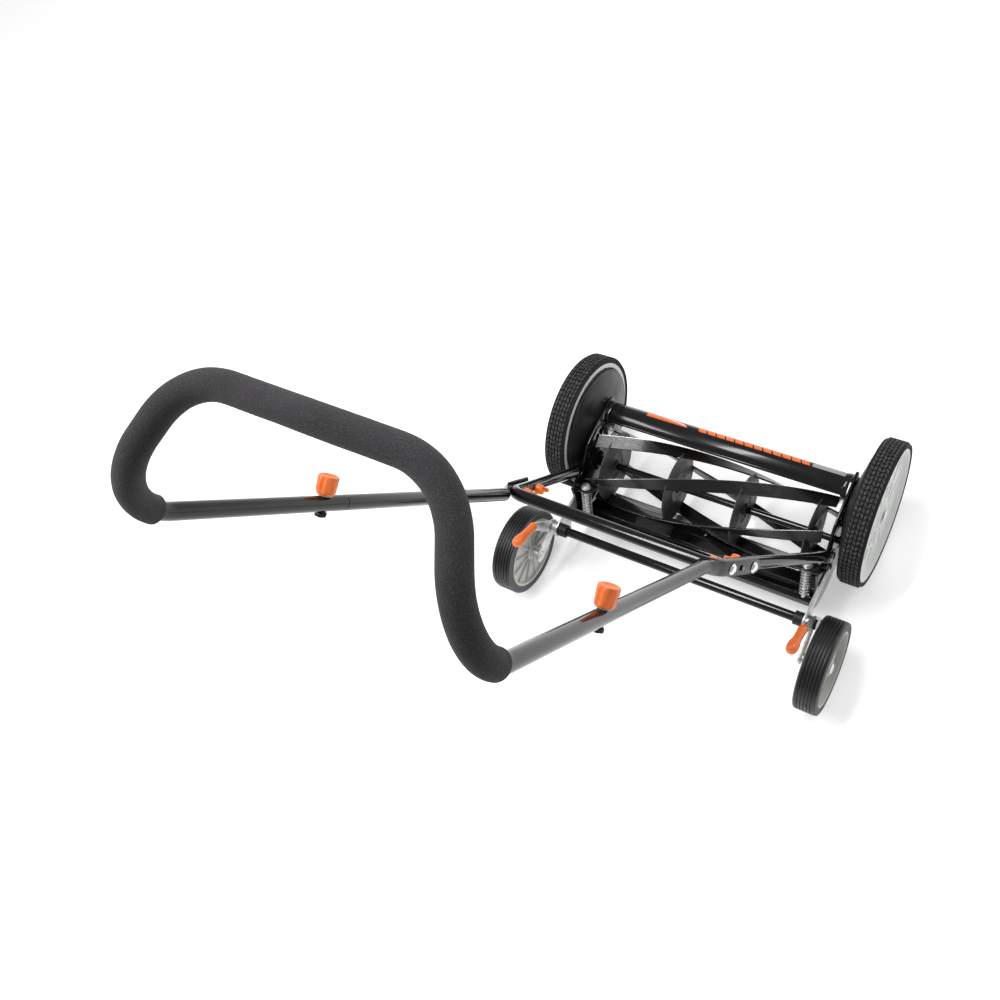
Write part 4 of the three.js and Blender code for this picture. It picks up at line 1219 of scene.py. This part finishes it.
def rear_wheel():
    """Moulded wheel whose outer dish is stiffened by thin radial ribs."""
    hub_out = REAR_OUT - 0.006
    rim_out = REAR_OUT - 0.0015
    body = turned(closed([
        (ROD_BORE, REAR_IN + 0.0015), (0.0134, REAR_IN + 0.0015), (0.0140, REAR_IN + 0.0021),
        (0.0140, REAR_WEB), (0.0607, REAR_WEB), (0.0617, REAR_IN + 0.0021), (0.0623, REAR_IN + 0.0015),
        (REAR_RIM_R, REAR_IN + 0.0015), (REAR_RIM_R, rim_out), (0.0650, rim_out + 0.0006),
        (0.0640, rim_out), (0.0634, rim_out - 0.0008), (0.0624, rim_out - 0.0008), (0.0616, rim_out),
        (0.0607, REAR_WEB + 0.0040),
        (0.0320, REAR_WEB + 0.0040), (0.0310, REAR_WEB + 0.0052), (0.0285, REAR_WEB + 0.0052),
        (0.0275, REAR_WEB + 0.0040), (0.0155, REAR_WEB + 0.0040), (0.0135, hub_out - 0.0008),
        (0.0127, hub_out), (ROD_BORE, hub_out),
    ]), REAR_AXLE, 96)
    parts = [body]
    for i in range(OUTER_RIBS):
        rib = block((REAR_WEB + 0.003, -0.0009, 0.0125), (REAR_OUT - 0.012, 0.0009, 0.0612))
        open_mesh(rib)
        pick(rib, "verts", lambda middle, _: middle.z < 0.02 and middle.x > REAR_WEB + 0.004)
        slide((0.0045, 0, 0))
        close_mesh()
        parts.append(place(soften(rib, 0.0003), about(REAR_AXLE, FULL_TURN * i / OUTER_RIBS)))
    for i in range(INNER_RIBS):
        rib = block((REAR_IN + 0.003, -0.0008, 0.0135), (REAR_WEB + 0.001, 0.0008, 0.0612))
        parts.append(place(soften(rib, 0.0003), about(REAR_AXLE, FULL_TURN * (i + 0.5) / INNER_RIBS)))
    return gather(*parts)


def index_plate():
    """Zinced strip from the side plate to the rod, with the notched sector of the height setting."""
    angles = [LATCH_ANGLE + (i - 2) * NOTCH_STEP for i in range(6)]
    low, high = angles[0] - NOTCH_STEP, angles[-1] + NOTCH_STEP
    notch_rim = LATCH_RADIUS - 0.0032
    centre = Vector((INDEX_IN, *ROD_AT))
    front = (PIVOT.y - 0.008, PIVOT.z - 0.034)
    obj = draw([centre, Vector((INDEX_IN, *round_rod(low, notch_rim)))])
    sweep(high - low, centre, 24)
    bpy.ops.mesh.select_all(action="SELECT")
    bpy.ops.mesh.edge_face_add()
    pull((INDEX_OUT - INDEX_IN, 0, 0))
    tidy_mesh()
    close_mesh()
    weld_with(obj, link_plate(front, 0.013, ROD_AT, 0.015, INDEX_IN, INDEX_OUT))
    for angle in angles:
        drill(obj, round_rod(angle, LATCH_RADIUS), 0.0043, INDEX_IN, INDEX_OUT)
    drill(obj, front, 0.0046, INDEX_IN, INDEX_OUT)
    drill(obj, ROD_AT, ROD_BORE, INDEX_IN, INDEX_OUT)
    soften(obj, 0.0003)
    boss = turned(closed([
        (ROD_BORE, INDEX_OUT - 0.0002), (0.0128, INDEX_OUT - 0.0002), (0.0120, INDEX_OUT + 0.0008),
        (0.0118, ARM_IN - 0.0012), (0.0110, ARM_IN - GAP), (ROD_BORE, ARM_IN - GAP),
    ]), ROD, 48)
    bolt = turned_stud(Vector((INDEX_OUT, *front)), X, 0.0068, 0.0030)
    washer = along_x(front, INDEX_OUT - 0.0002, INDEX_OUT + 0.0010, 0.0090, 40)
    stamped = link_plate((ROD.y + 0.030, ROD.z + 0.001), 0.0032, (ROD.y + 0.074, ROD.z - 0.003), 0.0032,
                         INDEX_OUT - 0.0002, INDEX_OUT + 0.0007)
    return gather(obj, boss, bolt, soften(washer, 0.0003), soften(stamped, 0.0005))


def rear_rod():
    end = ARM_OUT + 0.004
    return turned([
        (0, -end), (0.0080, -end), (0.0090, -end + 0.0010), (0.0090, -ARM_OUT - GAP),
        (0.0060, -ARM_OUT - GAP), (0.0060, -PLATE_OUT), (0.0074, -PLATE_OUT),
        (0.0080, -PLATE_OUT + 0.0006), (0.0080, PLATE_OUT - 0.0006), (0.0074, PLATE_OUT),
        (0.0060, PLATE_OUT), (0.0060, ARM_OUT + GAP), (0.0090, ARM_OUT + GAP),
        (0.0090, end - 0.0010), (0.0080, end), (0, end),
    ], ROD, 48)


def rod_bushing():
    low = PLATE_OUT - 0.016
    return turned(closed([
        (0.0083, low + 0.0006), (0.0089, low), (0.0112, low), (0.0120, low + 0.0008),
        (0.0120, low + 0.0050), (0.0114, low + 0.0056), (0.0114, low + 0.0066), (0.0120, low + 0.0072),
        (0.0120, PLATE_OUT), (0.0083, PLATE_OUT),
    ]), ROD, 48)


def height_arm():
    """Rear wheel's arm, with its lever, its latch tongue and the wheel's spindle."""
    latch = round_rod(LATCH_ANGLE, LATCH_RADIUS)
    obj = link_plate(ROD_AT, 0.014, REAR_AT, 0.012, ARM_IN, ARM_OUT)
    weld_with(
        obj, link_plate(ROD_AT, 0.012, LEVER_TOP, 0.006, ARM_IN, ARM_OUT),
        link_plate(LEVER_TOP, 0.006, TANG_END, 0.005, ARM_IN, ARM_OUT),
        link_plate(ROD_AT, 0.010, latch, 0.005, ARM_IN, ARM_OUT))
    drill(obj, ROD_AT, ROD_BORE, ARM_IN, ARM_OUT)
    soften(obj, 0.0005)
    swage_from = (ROD.y - 0.008, ROD.z - 0.002)
    swage_to = (REAR_AXLE.y + 0.013, REAR_AXLE.z + 0.003)
    swage = link_plate(swage_from, 0.0040, swage_to, 0.0040, ARM_OUT - 0.0002, ARM_OUT + 0.0008)
    latch_pin = soften(along_x(latch, INDEX_IN + 0.0005, ARM_OUT + 0.0022, 0.0026, 24), 0.0004)
    spindle = turned([
        (0, ARM_IN - 0.0014), (0.0084, ARM_IN - 0.0014), (0.0090, ARM_IN - 0.0006),
        (0.0090, ARM_IN + 0.0002), (0.0060, ARM_IN + 0.0002), (0.0060, ARM_OUT), (0.0088, ARM_OUT),
        (0.0088, REAR_IN + 0.0008),
        (0.0060, REAR_IN + 0.0008), (0.0060, REAR_OUT - 0.0057), (0.0100, REAR_OUT - 0.0057),
        (0.0100, REAR_OUT - 0.0044), (0.0092, REAR_OUT - 0.0040), (0.0070, REAR_OUT - 0.0026),
        (0.0040, REAR_OUT - 0.0021), (0, REAR_OUT - 0.0020),
    ], REAR_AXLE, 48)
    return gather(obj, soften(swage, 0.0006), latch_pin, spindle)


def lever_grip():
    """Peanut-shaped push-on grip, slotted where the lever's tang goes in."""
    run = Vector((0, GRIP_END[0] - LEVER_TOP[0], GRIP_END[1] - LEVER_TOP[1]))
    length = run.length
    obj = turned([
        (0, -0.0040), (0.0035, -0.0038), (0.0055, -0.0030), (0.0069, -0.0014), (0.0075, 0.0010),
        (0.0075, 0.0060), (0.0071, 0.0160), (0.0070, 0.0240), (0.0074, 0.0310), (0.0086, 0.0380),
        (0.0094, 0.0430), (0.0095, 0.0480), (0.0091, 0.0530), (0.0081, length - 0.0038),
        (0.0066, length - 0.0017), (0.0040, length - 0.0004), (0, length),
    ], ORIGIN, 48)
    middle = (ARM_IN + ARM_OUT) / 2
    place(obj, Matrix.Translation((middle, *LEVER_TOP)) @ run.to_track_quat("X", "Z").to_matrix().to_4x4())
    cut_with(obj, link_plate(LEVER_TOP, 0.0063, TANG_END, 0.0053, ARM_IN - GAP, ARM_OUT + GAP))
    return obj


def make_rear():
    finish_pair(rear_tyre(), "ribbed_tyre", "{side}_rear_roller", "ribbed_rubber", "rear_tyre")
    finish_pair(rear_wheel(), "ribbed_wheel", "{side}_rear_roller", "grey_plastic", "rear_wheel")
    finish_pair(index_plate(), "notched_plate", "frame", "zinc_plate", "index_plate")
    finish_piece(rear_rod(), "height_rod", "frame", "black_gloss_paint", ["rear_rod"])
    finish_pair(rod_bushing(), "height_rod_bushing", "frame", "black_plastic", "rod_bushing")
    finish_pair(height_arm(), "rear_wheel_arm", "{side}_height_lever", "zinc_plate", "height_arm")
    finish_pair(
        lever_grip(), "height_lever_grip", "{side}_height_lever", "orange_plastic", "lever_grip", angle=50)


# ------------------------------------------------------------------ handle

ARM_TURN = math.atan(ARM_SLOPE)
FLAT_THICK = 0.005
FLAT_WIDE = 0.022
FLAT_MIDDLE = TUBE_R + GAP + FLAT_THICK / 2
TAB_IN = PLATE_OUT + GAP
TAB_OUT = TAB_IN + 0.006
ARM_FOOT = 0.026
SEAT = TUBE_R + GAP


def arm_x(rise):
    return ARM_START + ARM_SLOPE * rise


def leg_x(rise):
    return LEG_HALF + LEG_SLOPE * (rise - YOKE_RISE)


def on_handle(obj):
    return place(obj, HANDLE_FRAME)


def on_line(obj, x, rise, turn):
    """Sets a piece drawn across X on the arm or the leg at a rise, in the handle's frame."""
    return place(obj, Matrix.Translation((x, rise, 0)) @ Matrix.Rotation(-turn, 4, "Z"))


def bent_tube(corners, bend, radius, sides=40, steps=18, capped=True):
    """A round tube through corners; a corner on a straight run only adds a ring."""
    corners = [Vector(corner) for corner in corners]
    bpy.ops.object.select_all(action="DESELECT")
    bpy.ops.mesh.primitive_circle_add(vertices=sides, radius=radius)
    obj = bpy.context.object
    facing = (corners[1] - corners[0]).to_track_quat("Z", "Y").to_matrix().to_4x4()
    obj.matrix_world = Matrix.Translation(corners[0]) @ facing
    bpy.ops.object.transform_apply(location=True, rotation=True, scale=True)
    open_mesh(obj, "EDGE")
    bpy.ops.mesh.select_all(action="SELECT")
    here = corners[0]
    for before, corner, after in zip(corners, corners[1:], corners[2:]):
        back, on = (before - corner).normalized(), (after - corner).normalized()
        axis = (-back).cross(on)
        if axis.length < 1e-4:
            pull(corner - here)
            here = corner
            continue
        half = back.angle(on) / 2
        pull(corner + back * bend / math.tan(half) - here)
        centre = corner + (back + on).normalized() * bend / math.sin(half)
        sweep(math.pi - 2 * half, centre, steps, axis.normalized())
        here = corner + on * bend / math.tan(half)
    pull(corners[-1] - here)
    bpy.ops.mesh.select_all(action="SELECT")
    if capped:
        bpy.ops.mesh.fill_holes(sides=0)
    tidy_mesh()
    close_mesh()
    return obj


def shaped_tube(stations, sides=40):
    """A tube up the handle through (x, rise, half width, half depth) sections."""
    x, rise, wide, deep = stations[0]
    bpy.ops.object.select_all(action="DESELECT")
    bpy.ops.mesh.primitive_circle_add(
        vertices=sides, radius=1, location=(x, rise, 0), rotation=(math.pi / 2, 0, 0))
    obj = bpy.context.object
    obj.scale = (wide, deep, 1)
    bpy.ops.object.transform_apply(location=True, rotation=True, scale=True)
    open_mesh(obj, "EDGE")
    bpy.ops.mesh.select_all(action="SELECT")
    for before, after in zip(stations, stations[1:]):
        pull((after[0] - before[0], after[1] - before[1], 0))
        bpy.ops.transform.resize(value=(after[2] / before[2], 1, after[3] / before[3]),
                                 center_override=(after[0], after[1], 0))
    bpy.ops.mesh.select_all(action="SELECT")
    bpy.ops.mesh.fill_holes(sides=0)
    tidy_mesh()
    close_mesh()
    return obj


def yoke():
    """One bent tube whose two ends are crimped flat to the pivot tabs."""
    rings = [ARM_FOOT, 0.034, 0.044, 0.056]
    arm = [(arm_x(rise), rise, 0) for rise in rings]
    left_arm = [(-x, rise, z) for x, rise, z in arm]
    bar = [(-YOKE_HALF, YOKE_RISE, 0), (YOKE_HALF, YOKE_RISE, 0)]
    obj = bent_tube([*left_arm, *bar, *arm[::-1]], YOKE_BEND, TUBE_R, steps=20)
    open_mesh(obj)
    for side in (1, -1):
        for rise, squeeze, spread in ((ARM_FOOT, 0.34, 1.2), (0.034, 0.55, 1.14), (0.044, 0.84, 1.05)):
            centre = Vector((side * arm_x(rise), rise, 0))
            pick(obj, "verts", lambda middle, _: (middle - centre).length < TUBE_R * 1.25
                 and abs(middle.y - rise - (middle.x - centre.x) * side * -ARM_SLOPE) < 0.002)
            bpy.ops.transform.resize(value=(squeeze, 1, spread), center_override=centre)
            slide((side * (TAB_X - arm_x(rise)) * (1 - squeeze) / 0.66, 0, 0))
    close_mesh()
    tabs = []
    for side in (1, -1):
        low, high = sorted((side * TAB_IN, side * TAB_OUT))
        tab = link_plate((0, 0), 0.012, (0.040, 0), 0.009, low, high)
        drill(tab, (0, 0), 0.0043, low, high)
        tabs.append(soften(tab, 0.0009))
    return on_handle(gather(obj, *tabs))


def pivot_rivet():
    return turned([
        (0, PLATE_OUT - 0.001), (0.004, PLATE_OUT - 0.001), (0.004, TAB_OUT + GAP),
        (0.0070, TAB_OUT + GAP), (0.0070, TAB_OUT + 0.0010), (0.0062, TAB_OUT + 0.0022),
        (0.0040, TAB_OUT + 0.0030), (0, TAB_OUT + 0.0033),
    ], PIVOT, 40)


def lower_tube():
    """Leg of the handle: a round tube flattened where it is bolted to the yoke's arm."""
    def flat_x(rise):
        return arm_x(rise) + FLAT_MIDDLE / math.cos(ARM_TURN)

    thin, wide = FLAT_THICK / 2, FLAT_WIDE / 2
    start, top, round_from = BOLT_RISES["front"] - 0.017, BOLT_RISES["rear"] + 0.020, YOKE_RISE + 0.030
    rounding = ((0, 0.55), (0.002, 0.80), (0.006, 0.97), (0.011, 1.0), (top - start, 1.0))
    stations = [(flat_x(start + rise), start + rise, thin, wide * share) for rise, share in rounding]
    for share, thickness in ((0.2, 0.06), (0.4, 0.24), (0.6, 0.52), (0.8, 0.82)):
        rise = top + (round_from - top) * share
        stations.append((
            flat_x(top) + (leg_x(round_from) - flat_x(top)) * share, rise,
            thin + (TUBE_R - thin) * thickness, wide + (TUBE_R - wide) * thickness))
    neck = TUBE_R - 0.0015
    end = JOINT_RISE - GAP
    stations += [
        (leg_x(round_from), round_from, TUBE_R, TUBE_R),
        (leg_x(end - 0.0004), end - 0.0004, TUBE_R, TUBE_R),
        (leg_x(end), end, TUBE_R - 0.0004, TUBE_R - 0.0004), (leg_x(end), end, neck, neck),
        (leg_x(JOINT_RISE + 0.068), JOINT_RISE + 0.068, neck, neck)]
    obj = shaped_tube(stations)
    face = flat_x(0.345) + thin
    crease = soften(block((face - 0.0004, 0.334, -0.004), (face + 0.0005, 0.355, 0.004)), 0.0004)
    return on_handle(gather(obj, crease))


def loop_corners(start):
    grip = [(leg_x(start), start, 0), (leg_x(GRIP_RISE), GRIP_RISE, 0),
            (LOOP_HALF, GRIP_RISE - LOOP_DROP, -LOOP_REACH)]
    return [(-x, rise, z) for x, rise, z in grip] + grip[::-1]


def upper_handle():
    """Loop of the handle; its ends are pushed over the legs' necks."""
    return on_handle(bent_tube(loop_corners(JOINT_RISE), LOOP_BEND, TUBE_R, steps=24))


def foam_grip():
    """Sponge sleeve pushed over the loop, a little lumpy, with blunt rounded ends."""
    low = FOAM_RISE - 0.046
    obj = bent_tube(loop_corners(low), LOOP_BEND, FOAM_R - 0.0002, sides=56, steps=40)
    open_mesh(obj)
    bpy.ops.mesh.select_all(action="SELECT")
    bpy.ops.mesh.bisect(plane_co=(0, FOAM_RISE, 0), plane_no=(0, math.cos(FOAM_LEAN), -math.sin(FOAM_LEAN)),
                        use_fill=True, clear_inner=True)
    close_mesh()
    soften(obj, 0.0030, 5, 60)
    open_mesh(obj, "EDGE")
    pick(obj, "edges", lambda _, edge: edge.calc_length() > 0.02)
    bpy.ops.mesh.subdivide(number_cuts=14)
    tidy_mesh()
    close_mesh()
    lumps = bpy.data.textures.new("lumps", "CLOUDS")
    lumps.noise_scale = 0.03
    apply_modifier(obj, "DISPLACE", texture=lumps, texture_coords="LOCAL", strength=0.0007, mid_level=0.85)
    cut_with(obj, bent_tube(loop_corners(low), LOOP_BEND, TUBE_R + GAP, steps=24))
    return on_handle(obj)


def knob_cap():
    """Fluted clamp knob: a blocky cap, a little narrower at its foot."""
    flutes = 7
    per_flute = 6
    obj = turned([
        (0, 0.0198), (0.0060, 0.0200), (0.0092, 0.0214), (0.0106, 0.0220), (0.0116, 0.0214),
        (0.0121, 0.0200), (0.0121, 0.0170), (0.0118, 0.0095), (0.0114, 0.0030), (0.0108, 0.0008),
        (0.0098, 0), (0, 0),
    ], ORIGIN, flutes * per_flute)
    open_mesh(obj)
    for turn, share in ((0, 0.88), (1, 0.93), (5, 0.93)):
        for i in range(flutes):
            angle = FULL_TURN * (i * per_flute + turn) / (flutes * per_flute)
            facing = Vector((0, -math.sin(angle), math.cos(angle)))
            pick(obj, "verts", lambda middle, _: 0.002 < middle.x < 0.0205
                 and off_line(middle, ORIGIN) > 0.0100
                 and (Vector((0, middle.y, middle.z)).normalized() - facing).length < 0.02)
            bpy.ops.transform.resize(value=(1, share, share), center_override=(0, 0, 0))
    close_mesh()
    return at_knob(soften(obj, 0.0005, 2, 40), -SEAT - 0.0015)


def at_knob(obj, z):
    """Sets a piece drawn up +X on the leg at the knob, standing down the handle's -Z."""
    upright = Matrix.Rotation(math.pi / 2, 4, "Y")
    return on_handle(place(obj, Matrix.Translation((leg_x(KNOB_RISE), KNOB_RISE, z)) @ upright))


def knob_washer():
    return at_knob(turned(closed([
        (0.0042, 0), (0.0084, 0), (0.0090, 0.0005), (0.0090, 0.0010), (0.0084, 0.0014), (0.0042, 0.0014),
    ]), ORIGIN, 48), -SEAT)


def knob_stud():
    """Carriage stud of the clamp, with its nut on the handle's back."""
    back = -2 * SEAT
    stud = turned([
        (0, back - 0.0060), (0.0034, back - 0.0060), (0.0040, back - 0.0052), (0.0040, 0.0030), (0, 0.0030),
    ], ORIGIN, 32)
    nut = soften(rod((back - 0.0050, 0, 0), (back, 0, 0), 0.0075, 6), 0.0008)
    return at_knob(gather(stud, nut), -SEAT)


def carriage_bolt(rise):
    """Dome-headed bolt through the flattened leg and the yoke's arm."""
    seat = FLAT_MIDDLE + FLAT_THICK / 2 + GAP
    end = -TUBE_R - 0.010
    obj = turned([
        (0, end), (0.0034, end), (0.0040, end + 0.0006), (0.0040, seat), (0.0078, seat),
        (0.0080, seat + 0.0004), (0.0077, seat + 0.0014), (0.0068, seat + 0.0024),
        (0.0052, seat + 0.0034), (0.0030, seat + 0.0039),
        (0, seat + 0.0040),
    ], ORIGIN, 40)
    thread = place(screw_thread(0.0042, end + 0.0006, -SEAT - 0.0002), Matrix.Rotation(math.pi / 2, 4, "Y"))
    return on_handle(on_line(gather(obj, thread), arm_x(rise), rise, ARM_TURN))


def wing_nut(rise):
    """Moulded wing nut with two broad upswept wings."""
    hub = turned(closed([
        (0.0044, 0), (0.0074, 0), (0.0080, -0.0006), (0.0079, -0.0060), (0.0074, -0.0102),
        (0.0066, -0.0110), (0.0044, -0.0110),
    ]), ORIGIN, 40)
    wings = []
    for side in (-1, 1):
        wing = rounded_plate([
            (side * 0.0060, -0.0012, 0.0008), (side * 0.0095, -0.0012, 0.0020),
            (side * 0.0148, -0.0150, 0.0024), (side * 0.0138, -0.0169, 0.0016),
            (side * 0.0118, -0.0165, 0.0020), (side * 0.0060, -0.0072, 0.0012),
        ], -0.003, 0.003, 5)
        # Drawn in the Y-Z plane: turned so that the wings sweep along -X.
        wings.append(place(soften(wing, 0.0012, 3), Matrix.Rotation(math.pi / 2, 4, "Y")))
    obj = gather(hub, *wings)
    return on_handle(on_line(place(obj, Matrix.Translation((-SEAT, 0, 0))), arm_x(rise), rise, ARM_TURN))


def make_handle():
    finish_piece(yoke(), "handle_yoke", "handle", "black_gloss_paint", ["yoke"])
    finish_pair(pivot_rivet(), "handle_pivot_rivet", "frame", "zinc_plate", None)
    finish_pair(lower_tube(), "flattened_leg", "handle", "black_gloss_paint", "lower_tube")
    finish_piece(upper_handle(), "handle_loop", "handle", "black_gloss_paint", ["upper_handle"])
    sleeve = foam_grip()
    finish_piece(sleeve, "foam_sleeve", "handle", "foam", ["foam_grip"], angle=60)
    finish_pair(knob_cap(), "fluted_knob", "{side}_knob", "orange_plastic", "clamp_knob")
    finish_pair(knob_washer(), "knob_washer", "{side}_knob", "grey_plastic", None)
    finish_pair(knob_stud(), "knob_stud", "{side}_knob", "black_plastic", None)
    for name, rise in BOLT_RISES.items():
        finish_pair(carriage_bolt(rise), f"{name}_carriage_bolt", "handle", "bolt_steel", f"{name}_bolt")
        finish_pair(wing_nut(rise), f"{name}_orange_wing_nut", f"{{side}}_{name}_nut", "orange_plastic",
                    f"{name}_wing_nut")


make_camera()
make_studio()
make_wheels()
make_reel()
make_frame()
make_rear()
make_handle()

slots = {part["node"]: part["material_slot"] for part in frame["record"]["subparts"]}
for obj in frame["nodes"].values():
    if not obj.hide_render:
        obj.data.materials.clear()
        obj.data.materials.append(FINISHES[slots[obj["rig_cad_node"]]].material)
